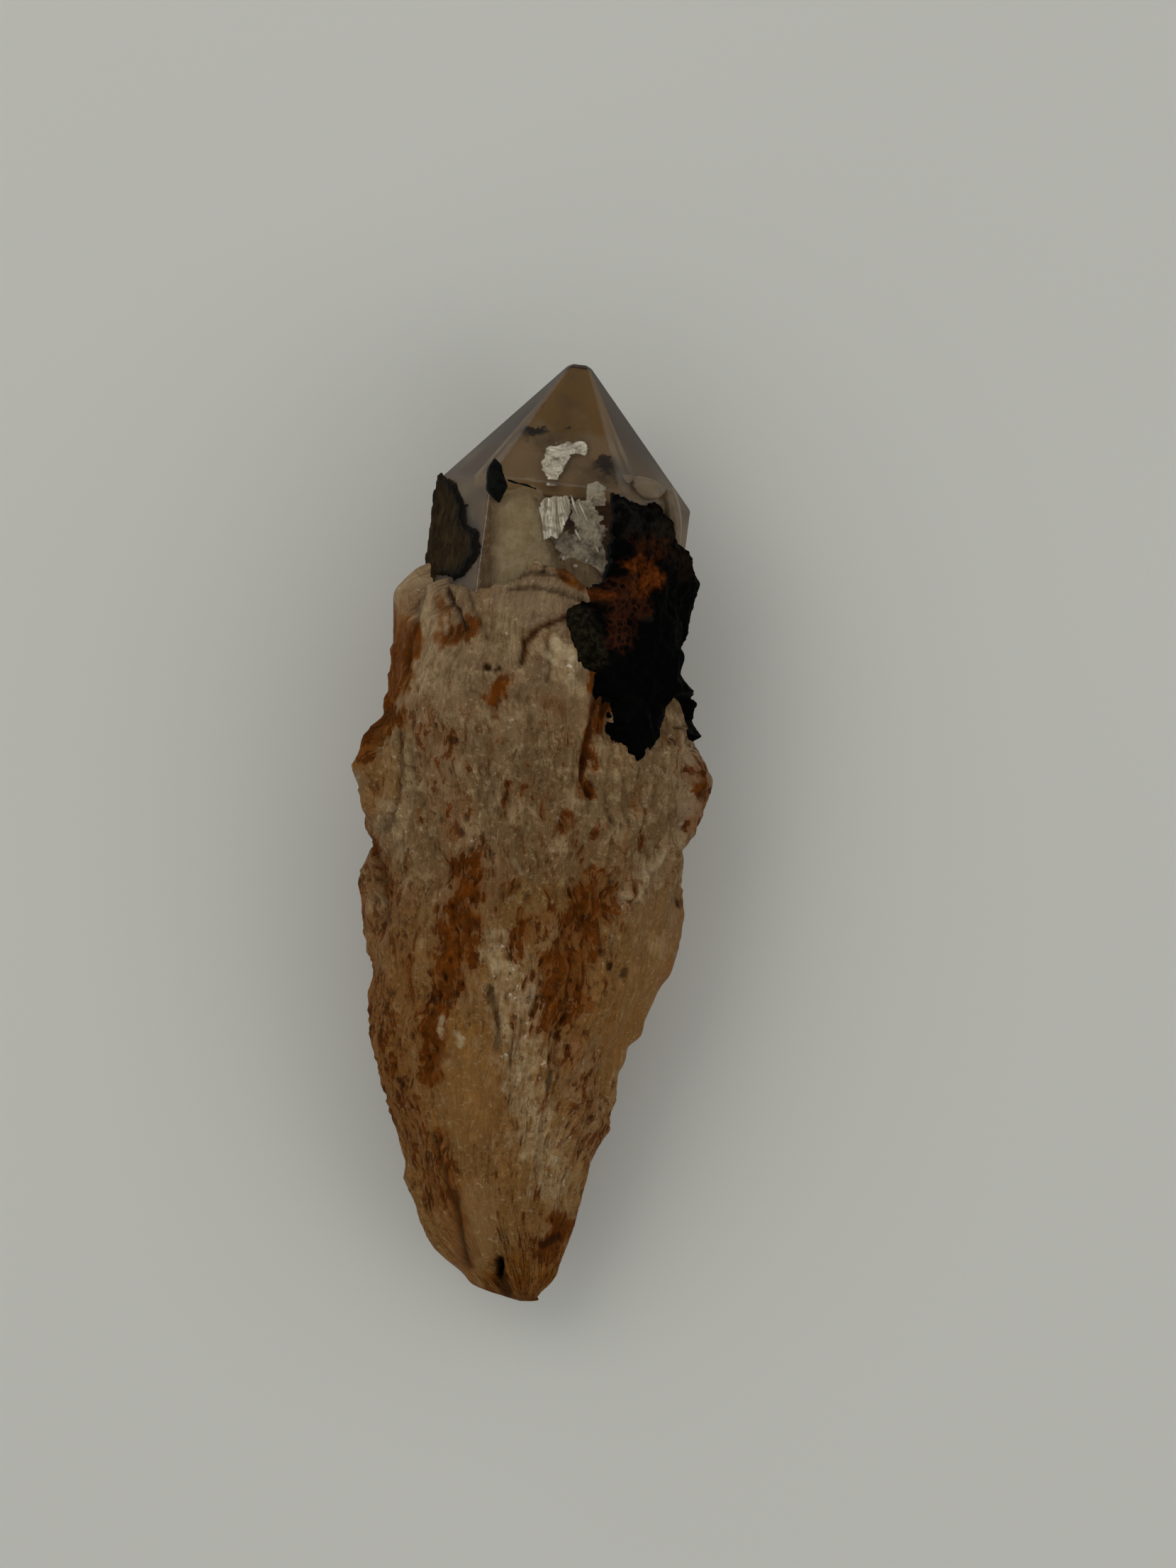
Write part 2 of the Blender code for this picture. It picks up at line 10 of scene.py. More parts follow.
import bpy
import numpy as np
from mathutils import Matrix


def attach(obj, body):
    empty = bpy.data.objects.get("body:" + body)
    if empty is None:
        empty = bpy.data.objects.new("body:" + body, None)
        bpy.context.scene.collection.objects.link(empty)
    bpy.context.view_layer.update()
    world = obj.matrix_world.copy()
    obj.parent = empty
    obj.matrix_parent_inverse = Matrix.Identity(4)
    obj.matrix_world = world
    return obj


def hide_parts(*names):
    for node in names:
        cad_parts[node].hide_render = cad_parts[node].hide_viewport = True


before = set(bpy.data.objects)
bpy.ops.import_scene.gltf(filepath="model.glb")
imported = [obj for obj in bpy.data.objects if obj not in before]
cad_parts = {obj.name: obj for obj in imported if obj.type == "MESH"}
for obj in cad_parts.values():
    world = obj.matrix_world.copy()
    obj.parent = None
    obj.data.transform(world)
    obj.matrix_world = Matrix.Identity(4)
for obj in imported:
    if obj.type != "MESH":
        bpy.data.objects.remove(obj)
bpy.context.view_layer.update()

bl_info = {
    "name": "Natural citrine crystal",
    "version": (1, 0, 0),
    "blender": (4, 5, 0),
    "location": "3D View > Sidebar > Crystal",
    "description": "Builds a clear six-sided quartz point in its milky, iron-stained sheath",
    "category": "Object",
}

MM = 0.001

# The camera looks straight down from this place, and plan positions are read on the plane at this height.
EYE = np.array((4.34, 4.14, 260.8))
PLAN_HEIGHT = 10.8
VIEW_HEIGHT = 125.4
SENSOR = 36.0

# The clear point: tip, lean to the right, roll, corner radius, slope of its end faces, and the worn tip.
TIP = np.array((3.8, 37.5, 10.9))
LEAN = math.radians(7.5)
ROLL = math.radians(-4.0)
CORNER_RADIUS = 10.2
END_SLOPE = math.radians(38.2)
TIP_RADIUS = 0.8
APEX_RADIUS = 0.55
APEX_STRETCH = 0.5
APEX_SHIFT = (-0.12, 0.0, 0.0)
POINT_FOOT = 25.0
# The distances from the point's axis to its prism faces, and to its end faces at the tip.
APOTHEM = CORNER_RADIUS * math.cos(math.pi / 6)
TIP_APOTHEM = TIP_RADIUS * math.cos(math.pi / 6)
# The point's own directions: along, across and out of its front face.
UP = np.array((0.0, 0.0, 1.0))
ALONG = np.array((math.sin(LEAN), math.cos(LEAN), 0.0))
LEVEL = np.cross(UP, ALONG)
ACROSS = LEVEL * math.cos(ROLL) + UP * math.sin(ROLL)
OUT = UP * math.cos(ROLL) - LEVEL * math.sin(ROLL)
# A place at most this far outside the point's faces counts as lying in them.
FACE_SKIN = 0.12
WORN_EDGE = 0.14
# Faces that look up, but less than this, have the satin surface.
SATIN_RISE = 0.7

# Above this line on plan the faces of the clear point are bare.
BARE_LINE = (
    -12.1, 18.7, -8.7, 18.7, -6.4, 20.1, -4.8, 19.6, -3.0, 19.9, -2.0, 20.0, -0.5, 21.3, 1.0, 21.7, 2.4, 21.4,
    3.8, 20.2, 4.9, 18.7, 6.6, 17.5, 14.0, 18.1,
)
# Where the milky quartz leaves the front of the clear point, by the place across on plan, and how steeply it dives.
DOME_ACROSS = (-9.0, -6.5, -4.5, -3.4, -2.8, -0.6, 0.6, 2.0, 6.0)
DOME_LEAVES = (22.0, 25.0, 26.0, 26.6, 26.9, 26.2, 23.5, 20.0, 18.6)
DOME_SLOPE = (0.7, 0.7, 0.7, 0.35, 0.2, 0.4, 0.6, 0.7, 0.9)
# On the back: where the faces get bare, where the milky quartz leaves them, and how steeply it dives.
BACK_BARE = 12.0
BACK_LEAVES = 18.0
BACK_SLOPE = 0.6
# The length of the dome's rounded top.
DOME_TOP = 2.5
# How milky that part looks from the front, by the place across on plan.
CORE_ACROSS = (-3.6, -2.6, -0.6, 0.6, 2.4, 6.0)
CORE_MILK = (0.0, 0.75, 0.8, 0.6, 0.4, 0.35)

BODY_ROWS = 300
BODY_COLUMNS = 328
BODY_SPAN = (-37.95, 28.2)
# How much closer together the columns are on the front.
FRONT_SHARE = 0.25

# Marks on the sheath, by what they change: half width, strength, and the bent line they follow.
MARKS = {
    "rust": (
        (1.6, 1.0, -5.3, -2.6, -5.8, -6.3, -6.6, -10.8), (1.1, 1.0, -6.4, -9.7, -7.7, -14.2, -8.3, -19.1),
        (2.2, 0.85, 5.2, -4.7, 3.3, -8.6, 2.0, -14.2), (1.8, 0.45, 2.7, -14.8, 4.1, -19.9, 4.4, -24.4),
        (1.3, 0.5, -10.9, -18.2, -9.2, -23.9, -7.3, -28.4), (0.9, 0.6, -8.0, -23.9, -6.4, -29.5, -5.3, -34.1),
        (1.9, 0.5, -2.7, -36.5, 0.7, -36.5), (1.0, 1.0, 2.1, -31.0, 1.8, -32.1, 0.6, -33.4),
        (1.6, 0.4, -1.3, -34.6, 0.4, -33.5, 1.8, -34.6), (2.0, 0.45, -12.6, -12.5, -11.8, -18.2, -10.1, -23.9),
        (0.6, 0.85, -1.3, -7.9, -1.8, -9.5), (1.2, 0.5, -0.6, -7.7, 1.8, -6.9),
        (0.8, 1.0, -7.2, 15.9, -5.2, 16.3, -4.8, 17.1), (0.6, 0.75, -7.4, 18.9, -7.0, 16.8),
        (0.5, 0.7, -3.2, 11.1, -2.3, 12.1), (0.6, 0.4, 1.1, 10.7, 2.1, 10.4),
        (0.9, 0.45, -8.4, 8.4, -6.2, 7.9, -6.4, 6.7), (1.1, 1.0, -11.5, 9.7, -12.6, 8.7, -13.5, 6.9),
        (1.1, 1.0, -10.1, 16.1, -10.8, 13.8, -11.2, 11.6), (0.35, 0.9, 4.7, 10.0, 4.2, 7.0, 3.8, 4.4),
        (0.75, 1.0, 5.3, 13.0, 5.1, 10.7, 5.0, 8.7), (0.5, 0.8, 4.3, 4.0, 4.6, 3.3), (0.5, 0.7, 2.7, 1.6, 2.5, 0.4),
        (0.9, 0.7, 12.9, 4.8, 13.6, 2.8, 12.9, 0.8), (0.4, 0.75, -12.5, -0.3, -12.1, -2.6, -11.8, -4.7),
        (0.3, 0.8, 2.1, 20.9, 3.3, 20.2, 4.5, 19.7),
        (0.3, 0.6, -0.8, 14.1, -0.6, 15.5, 0.5, 16.7, 2.7, 17.6, 4.5, 18.3),
        (1.6, 0.3, -9.2, 9.6, -6.4, 1.6, -3.0, -3.5), (1.4, 0.3, -10.9, -4.6, -10.1, -12.5, -8.7, -18.2),
        (0.45, 0.9, 1.8, 21.3, 2.8, 20.6, 3.6, 20.0), (0.7, 0.9, -3.3, 11.0, -2.3, 12.3),
    ),
    "dark": (
        (0.3, 0.85, 5.5, 12.7, 5.3, 9.6), (0.11, 0.8, 10.7, 8.6, 11.3, 8.7), (0.11, 0.9, 10.3, 7.3, 10.6, 7.7),
        (0.11, 0.8, 11.2, 7.5, 11.5, 8.0), (0.13, 0.9, 11.7, 7.2, 12.0, 8.1), (0.16, 0.9, 12.4, 6.6, 12.8, 7.4),
        (0.22, 0.9, -6.9, 20.4, -6.4, 18.8, -5.8, 17.4, -5.3, 16.6), (0.3, 0.95, -3.8, 13.5, -3.6, 13.4),
        (0.22, 0.9, -3.0, 13.2, -2.7, 13.4), (0.38, 1.0, -2.7, -34.0, -2.9, -35.0),
        (0.5, 0.75, -2.6, -35.3, -2.1, -36.5), (0.4, 0.8, 0.7, -32.7, 1.8, -32.1),
        (0.32, 0.9, 6.1, -10.3, 6.0, -10.6), (0.28, 0.7, 7.3, -10.7, 7.2, -11.2),
        (0.2, 0.9, 11.5, -5.2, 11.4, -5.6), (0.25, 0.7, 1.3, -18.8, 1.1, -20.2),
        (0.22, 0.8, -10.7, -19.4, -10.5, -20.0), (0.2, 0.7, -8.0, -12.9, -7.9, -13.4),
        (0.28, 0.6, -11.3, 1.6, -11.2, 1.2), (0.16, 0.6, 4.7, 10.0, 4.3, 7.9),
        (0.2, 0.6, -6.1, -29.0, -5.7, -31.8, -5.3, -34.2), (0.18, 0.6, -3.6, -12.5, -3.0, -14.8),
        (0.2, 0.8, -1.0, 13.8, -0.7, 15.5, 0.5, 16.6, 2.7, 17.5, 4.6, 18.2),
        # The first mark on the next line is painted shade: a broad, faint darkening over the arch, which catches more
        # of the window light.
        (2.2, 0.25, -0.5, 20.2, 2.1, 19.3, 1.0, 18.1), (0.16, 0.7, -1.6, 20.4, -0.3, 21.0, 1.3, 20.9, 2.7, 20.4),
        (0.16, 0.7, -1.8, 19.6, -0.2, 19.9, 2.0, 19.4, 3.7, 18.7), (0.5, 0.4, -11.5, 9.5, -12.6, 8.8),
        (0.7, 0.4, -12.8, 8.6, -12.3, 7.7), (0.5, 0.3, -6.6, 16.2, -5.2, 16.5),
    ),
    "pale": (
        (2.0, 1.0, -2.5, -9.7, -0.8, -13.7, -1.0, -19.3), (1.8, 0.95, -0.5, -20.5, 0.7, -23.9, 1.2, -27.6),
        # The two marks on the next line are painted highlights: small pale spots where flat facets throw back light.
        (0.45, 1.0, -7.3, -14.5, -7.4, -16.0), (0.35, 1.0, -6.0, -16.0, -5.9, -16.5),
        (0.35, 1.0, -3.3, -10.1, -3.0, -10.6), (0.35, 0.95, -1.2, -18.5, -1.2, -19.6),
        (0.9, 0.75, 12.8, 0.4, 10.6, -1.2, 9.2, -2.9, 7.5, -4.9), (0.6, 0.5, 9.8, -8.6, 10.0, -9.4),
        (0.9, 0.5, -4.8, 0.5, -3.9, -1.8), (0.7, 0.8, -12.9, -4.9, -12.8, -5.8),
        (1.1, 0.55, -10.9, 7.9, -10.6, 3.9, -11.2, 0.5), (0.9, 1.0, 1.4, 15.5, 2.1, 14.6, 3.0, 13.7),
        (0.7, 0.7, 2.7, 13.0, 3.3, 11.6), (2.8, 0.32, -8.7, 20.9, -8.9, 15.3, -8.5, 9.2, -8.0, 4.3),
        (1.8, 0.75, -8.7, 19.8, -8.9, 15.8, -9.2, 12.4), (1.5, 0.75, -10.1, 21.5, -10.5, 18.7),
        (2.6, 0.35, -0.2, 19.8, 0.4, 18.1, -1.9, 15.8), (1.2, 0.4, 6.1, -23.9, 5.5, -20.5),
        (1.2, 0.45, 2.7, -26.1, 2.1, -29.5), (1.3, 0.4, 11.7, 6.7, 11.5, 3.9),
        (2.2, 0.6, 3.2, -17.6, 4.4, -21.6, 4.1, -23.9), (1.5, 0.75, -10.9, 19.8, -10.1, 17.5),
        (1.6, 0.3, -4.7, -29.0, -4.8, -33.5),
    ),
    "blush": (
        (2.6, 0.8, -0.7, 19.8, 2.1, 18.7), (1.3, 0.7, 12.6, 6.7, 13.4, 3.9, 12.6, 1.1),
        (1.6, 0.6, -8.1, 20.4, -8.7, 15.8), (1.5, 0.5, -5.6, -2.9, -6.4, -12.5), (1.2, 0.4, 10.3, -2.0, 8.3, -4.0),
        (1.8, 0.8, -10.9, 19.8, -9.2, 17.5),
    ),
    "ochre": (
        (0.5, 0.9, 2.4, 21.0, 3.5, 20.1), (2.0, 1.0, -3.0, -35.2, 1.0, -35.2),
        (0.9, 1.0, 2.1, -31.0, 1.8, -32.4, 1.0, -33.8), (1.3, 1.0, -10.1, 16.4, -10.8, 13.8, -11.2, 11.6),
        (1.2, 1.0, -11.6, 9.5, -12.8, 8.4, -13.5, 6.7), (1.8, 0.8, -2.2, -36.1, 0.7, -36.1),
        (0.45, 0.8, -3.0, 11.6, -2.1, 12.2), (0.4, 0.7, -6.1, 16.3, -5.0, 17.0), (0.4, 0.6, 4.3, 3.8, 4.5, 3.2),
        (2.0, 0.35, -5.6, -18.2, -5.0, -21.6), (2.2, 0.6, -4.7, -29.0, -4.8, -33.5),
        (1.4, 0.5, -11.8, 5.6, -12.1, 2.8), (1.6, 0.35, 10.6, -6.9, 9.8, -12.5),
    ),
    "polish": (
        (2.4, 1.0, -5.3, -18.2, -5.0, -22.7), (1.8, 1.0, -4.8, -29.0, -5.0, -33.5),
        (2.2, 0.9, 10.3, -6.3, 9.2, -12.5, 7.8, -17.1), (1.8, 0.8, -0.5, 19.2, 2.7, 18.9),
        (1.6, 0.7, -8.2, 19.8, -8.7, 15.3), (1.3, 0.7, -10.4, 20.4, -10.6, 17.0), (1.6, 0.6, 0.4, 12.4, 3.2, 10.2),
    ),
    "white": (
        (0.44, 0.49, 1.6, 15.7, 2.2, 15.1, 3.0, 14.2), (0.24, 0.43, 1.1, 14.4, 1.8, 13.8),
        # The second mark on the next line and the first on the line after it are painted highlights: white spots where
        # flat facets throw back light.
        (0.28, 0.38, 3.1, 12.7, 3.3, 12.0), (0.24, 0.49, -7.3, -14.6, -7.4, -16.0),
        (0.22, 0.49, -6.0, -16.0, -5.9, -16.6), (0.24, 0.43, -3.2, -10.1, -3.0, -10.6),
        (0.24, 0.43, -1.2, -18.5, -1.2, -19.6), (0.36, 0.32, -0.3, -12.2, -0.6, -13.7),
        (0.32, 0.27, -0.1, -21.6, 0.5, -23.3), (0.28, 0.32, 10.6, -1.3, 9.8, -2.4, 8.9, -3.2),
        (0.24, 0.32, 12.4, -0.1, 11.5, -0.6), (0.24, 0.32, 7.4, -4.7, 7.0, -5.3),
        # The first mark on the next line is a painted highlight: small white glints on the left lobe.
        (0.28, 0.38, -12.1, 2.9, -11.6, 2.2), (0.24, 0.38, 12.8, 4.9, 13.1, 4.4), (0.2, 0.32, 13.2, 2.8, 13.0, 2.1),
        (0.24, 0.32, -6.9, 17.4, -7.0, 16.3), (0.24, 0.27, -1.5, -2.0, -1.0, -3.0),
        (0.24, 0.27, -10.9, -0.9, -10.8, -2.0),
    ),
}
# How ragged the edge of each kind of mark is.
MARK_RAGGED = {"rust": 1.0, "dark": 0.5, "pale": 1.0, "blush": 1.0, "ochre": 1.0, "polish": 0.5, "white": 1.3}

# Lines cut into or raised on the sheath: half width, height (below zero for a groove), and the line.
CUTS = (
    (0.28, -0.35, -1.0, 13.8, -0.7, 15.5, 0.5, 16.6, 2.7, 17.5, 4.6, 18.2),
    (0.2, -0.3, -1.8, 20.5, -0.5, 21.2, 1.2, 21.0, 2.7, 20.5),
    (0.2, -0.3, -1.9, 19.7, -0.2, 20.0, 2.1, 19.6, 3.9, 18.8),
    (0.3, -0.4, -6.9, 20.4, -6.4, 18.8, -5.8, 17.4, -5.3, 16.6),
    (0.25, -0.35, 5.0, 12.7, 4.7, 10.0, 4.2, 7.0, 3.8, 4.4, 4.5, 3.2),
    (0.3, 0.3, 12.6, 0.2, 10.6, -1.2, 9.2, -2.9, 7.8, -4.9, 6.2, -5.8),
    (0.25, -0.3, -10.8, 8.2, -10.6, 5.6, -11.1, 2.8, -11.8, 0.5),
    (0.25, -0.3, -12.5, -0.3, -12.2, -2.3, -12.1, -4.7, -11.6, -6.9),
    (0.2, -0.3, -6.4, -28.4, -5.8, -32.1, -5.2, -34.4), (0.2, -0.25, -8.0, -23.9, -7.0, -27.3, -6.4, -29.5),
    (0.4, -0.9, -2.7, -34.1, -2.9, -35.0), (0.22, -0.25, -8.7, 19.8, -9.4, 17.0, -9.8, 15.5, -10.1, 13.0),
    (0.2, -0.2, 1.0, 15.5, 1.4, 14.1, 1.1, 12.4), (0.22, -0.22, -5.6, 20.8, -4.8, 18.7, -3.6, 15.8),
    (0.35, 0.22, -3.0, 15.5, -2.3, 10.2, -2.7, 5.0), (0.3, 0.2, 7.2, 5.0, 6.2, -0.1, 4.8, -4.6),
    (0.3, -0.3, -3.6, -12.2, -2.9, -14.8, -3.0, -17.1), (0.3, 0.25, -8.7, 12.4, -8.3, 6.7, -8.0, -0.1),
    (0.22, 0.2, -6.4, 14.1, -6.0, 7.9, -5.7, 1.6), (0.3, 0.25, -0.5, 12.4, -0.2, 5.6, -0.6, -2.9),
    (0.22, 0.25, 2.1, 10.7, 2.2, 5.6, 1.5, -0.1), (0.3, 0.3, 9.2, 5.0, 7.8, 0.5, 6.4, -2.9),
    (0.25, 0.25, -3.0, 2.8, -2.1, -4.6, -1.4, -9.1), (0.3, 0.25, -10.9, -3.5, -9.5, -10.3, -8.9, -15.9),
    (0.3, 0.3, 7.2, -6.9, 5.5, -12.5, 4.1, -17.1), (0.25, 0.25, -4.1, -18.2, -3.0, -23.9, -2.1, -29.5),
)
# Lobes that stand out at the edges: half width, height, line.
BULGES = (
    (1.4, 0.8, -13.7, 8.2, -14.1, 6.2, -14.1, 3.1, -13.7, 1.2),
    (1.2, 0.6, -13.8, -2.0, -14.0, -4.0, -13.8, -6.9, -13.5, -9.1), (1.0, 0.5, -13.2, -12.5, -13.1, -16.5),
    (1.0, 0.5, 13.9, 5.3, 14.0, 3.3, 13.7, 1.6), (1.3, 1.0, 12.2, -6.9, 12.0, -8.8, 11.2, -10.5),
    (1.6, -0.7, 8.6, -14.8, 7.8, -17.1, 7.2, -18.8), (1.0, 0.5, -9.9, -27.4, -6.4, -34.1),
    (1.1, 0.9, -13.1, 1.9, -12.8, -0.3), (0.9, 0.5, 11.6, -8.3, 11.5, -9.4), (0.8, 0.5, 5.5, -23.3, 5.3, -24.7),
    (1.2, 0.8, 11.1, 10.4, 11.3, 9.0, 11.2, 7.6),
)

# The crust's outline. Its right side runs past the crystal's edge, and LOW_EDGE ends it on the hidden side: the
# lowest angle in degrees by the distance along.
CRUST_OUTLINE = (
    6.4, 27.3, 6.6, 25.9, 6.3, 23.5, 6.0, 20.8, 5.3, 20.0, 3.8, 19.7, 4.1, 18.9, 2.7, 18.3, 2.3, 17.7, 2.8, 15.8,
    3.3, 14.4, 4.1, 13.4, 4.7, 13.0, 4.8, 11.0, 5.8, 10.3, 5.9, 8.2, 6.7, 7.3, 7.4, 6.4, 8.1, 5.8, 8.7, 6.1,
    9.0, 6.9, 9.8, 7.3, 10.2, 9.0, 10.4, 10.8, 10.8, 10.5, 11.0, 9.5, 11.1, 7.4, 15.1, 7.2, 15.1, 23.8, 12.1, 23.6,
    11.2, 24.6, 10.4, 27.0, 9.1, 26.4, 7.8, 26.8,
)
CRUST_RIM = (11.2, 11.0, 11.3, 9.9, 11.4, 7.9)
LOW_EDGE = (
    4.0, 40.0, 6.4, 26.0, 7.4, -2.0, 10.6, -4.0, 12.0, 8.0, 14.0, 12.0, 16.0, 6.0, 18.0, 0.0, 20.0, 2.0, 22.0, 8.0,
    24.3, 24.0, 26.5, 36.0,
)
CRUST_SPAN = (5.5, 28.0)
CRUST_ANGLES = (-8.0, 74.0)
CRUST_DEPTH = 0.5
CRUST_ROWS = 190
CRUST_COLUMNS = 150
CRUST_MARKS = {
    "rust": (
        (0.85, 1.0, 7.5, 21.6, 8.3, 20.6, 7.5, 19.8), (0.9, 0.3, 8.1, 23.1, 9.0, 23.0),
        (0.5, 0.6, 3.9, 19.6, 5.2, 19.1),
    ),
    "cells": (
        (1.1, 1.0, 6.7, 19.8, 6.2, 18.0, 6.0, 15.8), (0.7, 0.8, 7.2, 18.7, 7.5, 17.8),
    ),
    "brown": (
        (1.4, 0.7, 10.6, 26.0, 11.5, 24.0), (1.6, 0.6, 10.9, 22.1, 10.0, 23.8), (0.7, 0.7, 4.9, 19.5, 5.4, 17.5),
    ),
    "grey": (
        (1.1, 1.0, 3.1, 17.4, 3.7, 15.5, 4.1, 14.1),
    ),
    "ash": (
        (1.3, 0.8, 7.2, 26.0, 8.3, 24.3, 9.8, 24.6), (0.35, 1.0, 7.8, 17.4, 8.1, 17.3),
    ),
}
CRUST_RAGGED = {"rust": 1.6, "cells": 1.6, "brown": 1.6, "grey": 0.4, "ash": 1.6}

# The oxide film on the left face of the point.
FILM_OUTLINE = (
    -7.7, 29.0, -6.4, 28.4, -5.8, 27.2, -5.4, 26.4, -5.3, 25.0, -4.4, 24.2, -4.3, 22.6, -4.9, 21.7, -5.6, 20.8,
    -6.4, 20.5, -7.0, 20.9, -7.7, 20.8, -8.1, 20.0, -8.8, 18.9, -8.7, 22.1, -8.3, 26.0,
)
FILM_DEPTH = 0.12
FILM_ROWS = 190
FILM_COLUMNS = 110

GRAIN_MIDDLE = (-2.7, 27.55, 19.7)
GRAIN_HALF = (0.82, 1.78, 0.5)
GRAIN_TURN = 6.0
THREAD = ((-1.85, 27.6, 19.45), (-1.1, 27.35, 19.6), (-0.4, 27.2, 19.6), (0.35, 26.9, 19.5))

# The thin sheets inside the point: their cells, their thickness, the distance along at which a sloping one has its
# level, and how far they are set back along the crystal, as the front end face bends the view.
SHEET_CELL = 0.06
SHEET_THICKNESS = 0.05
SHEET_LEVEL_AT = 26.8
SHEET_SHIFT = 0.63
# Each sheet: name, finish, level, fall, crumple, raggedness, seed, outline.
SHEETS = (
    ("veil_hook", "bright", 18.1, 0.64, 0.1, 0.14, 61,
        (0.9, 30.9, 1.2, 31.4, 2.1, 31.6, 2.7, 31.8, 4.1, 31.8, 4.3, 31.2, 4.1, 30.6, 3.1, 30.8, 2.7, 30.4,
         2.5, 29.7, 2.1, 29.0, 1.8, 28.3, 1.1, 28.5, 0.7, 29.4, 0.7, 30.3)),
    ("veil_low", "mid", 18.0, 0.0, 0.16, 0.4, 65, (1.4, 24.6, 5.5, 25.2, 6.1, 22.1, 5.0, 20.5, 2.6, 21.2)),
    ("veil_window", "mid", 18.3, 0.0, 0.14, 0.35, 67, (2.8, 27.4, 4.8, 27.7, 5.8, 25.2, 5.5, 23.5, 3.3, 24.3)),
    ("veil_fan", "fan", 18.5, 0.2, 0.05, 0.16, 74,
        (0.6, 27.6, 1.6, 27.8, 2.8, 27.7, 3.0, 26.5, 2.4, 25.2, 1.9, 24.2, 1.3, 24.8, 1.0, 24.0, 0.2, 24.2,
         0.3, 25.9)),
    ("veil_patch", "mid", 18.1, 0.0, 0.05, 0.12, 62,
        (4.3, 28.2, 5.0, 28.5, 5.8, 28.1, 5.7, 27.0, 4.9, 26.7, 4.3, 27.3)),
    ("smoke_left", "smoke", 18.4, 0.787, 0.05, 0.2, 68,
        (-1.8, 32.1, -0.5, 32.9, 1.0, 32.8, 1.9, 32.0, 0.9, 30.8, -0.7, 30.9)),
    ("smoke_arc", "smoke", 18.4, 0.787, 0.05, 0.2, 69,
        (1.3, 31.8, 1.6, 32.7, 2.9, 32.9, 3.5, 32.1, 2.7, 31.7, 2.0, 31.8)),
    ("smoke_right", "smoke", 18.1, 0.787, 0.05, 0.5, 70,
        (4.4, 30.0, 5.5, 30.6, 6.7, 29.7, 7.3, 27.7, 6.1, 27.3, 4.8, 28.3)),
    ("smoke_dark", "smoke", 18.4, 0.787, 0.05, 0.25, 72, (6.0, 28.7, 7.1, 28.3, 7.4, 27.3, 6.4, 27.0)),
    ("smoke_low", "smoke", 18.9, 0.0, 0.05, 0.25, 71, (-0.8, 27.4, 0.2, 27.5, 0.6, 26.5, 0.4, 25.2, -0.4, 25.6)),
)
# Smoke under the side end faces: name, face in degrees, what one crossing lets through.
FACE_SMOKE = (
    ("smoke_left_face", 30.0, (0.55, 0.32, 0.08)),
    ("smoke_right_face", 150.0, (0.75, 0.5, 0.08)),
)
# White rays that fan down from under the end face: middle, half width, half length, turn in degrees.
RAYS = (
    ((2.45, 25.4, 18.8), 0.09, 0.8, 13.0),
    ((3.3, 25.7, 18.6), 0.1, 0.7, 19.0),
    ((4.0, 25.2, 18.6), 0.08, 0.9, 24.0),
    ((3.6, 23.4, 18.4), 0.1, 0.5, 30.0),
    ((4.9, 22.8, 18.2), 0.12, 0.9, 22.0),
    ((2.5, 21.6, 18.5), 0.14, 0.2, 10.0),
    ((3.4, 21.0, 18.5), 0.2, 0.16, 0.0),
    ((4.3, 21.4, 18.4), 0.12, 0.24, -30.0),
)
# Clear quartz that has grown over the crust: middle, half sizes, turn in degrees.
LOBES = (
    ((8.7, 27.2, 17.1), (1.5, 0.85, 0.6), -16.0),
    ((7.0, 27.7, 17.9), (0.8, 0.45, 0.4), 10.0),
    ((11.0, 25.2, 14.0), (0.7, 2.3, 1.2), 6.0),
)
# The refractive index of the sheets inside the point, which hardly bend light.
SHEET_BEND = 1.02

FLOOR_HALF = 1500.0
FLOOR_DROP = 0.02
# The lamps: name, place, size, share of the window light's power.
LAMPS = (
    ("window", (-230.0, 230.0, 400.0), 340.0, 1.0),
    ("far_wall", (330.0, -160.0, 300.0), 260.0, 0.3),
)
FAR = 1e9


def smooth_step(value, low, high):
    """0 below low, 1 above high, and an S-shaped rise between them."""
    share = np.clip((value - low) / (high - low), 0.0, 1.0)
    return share * share * (3.0 - 2.0 * share)


def lattice_value(corner, seed):
    """A repeatable number from -1 to 1 for each whole-numbered place: its coordinates mixed by multiplying and
    shifting."""
    mixed = (corner @ np.array((374761393, 668265263, 1440670441)) + seed * 974634777) & 0xFFFFFFFF
    mixed = ((mixed ^ (mixed >> 13)) * 1274126177) & 0xFFFFFFFF
    return (mixed ^ (mixed >> 16)) / 2147483648.0 - 1.0


def noise(places, seed=0):
    """Smooth noise from -1 to 1: the lattice's numbers at the eight corners round each place, blended by S-curves."""
    corner = np.floor(places).astype(np.int64)
    share = places - corner
    share = share * share * share * (share * (share * 6.0 - 15.0) + 10.0)
    total = 0.0
    for step in np.ndindex(2, 2, 2):
        total = total + np.where(step, share, 1.0 - share).prod(-1) * lattice_value(corner + step, seed)
    return total


def layered_noise(places, layers, seed=0):
    """Noise with finer layers on top, each twice as fine and about half as strong."""
    return sum(0.55**layer * noise(places * 2.0**layer, seed + layer) for layer in range(layers))


def cells(places, seed=0):
    """For each place: the distances to the nearest and the next of one random point per lattice cube, and a random
    number from 0 to 1 that belongs to the nearest."""
    corner = np.floor(places).astype(np.int64)
    nearest = np.full(places.shape[:-1], FAR)
    second = nearest
    number = 0.0
    for step in np.ndindex(3, 3, 3):
        cell = corner + step - 1
        point = np.stack([0.5 + 0.42 * lattice_value(cell, seed + axis) for axis in (1, 2, 3)], -1)
        distance = np.linalg.norm(cell + point - places, axis=-1)
        closer = distance < nearest
        second = np.where(closer, nearest, np.minimum(second, distance))
        number = np.where(closer, 0.5 + 0.5 * lattice_value(cell, seed + 4), number)
        nearest = np.where(closer, distance, nearest)
    return nearest, second, number


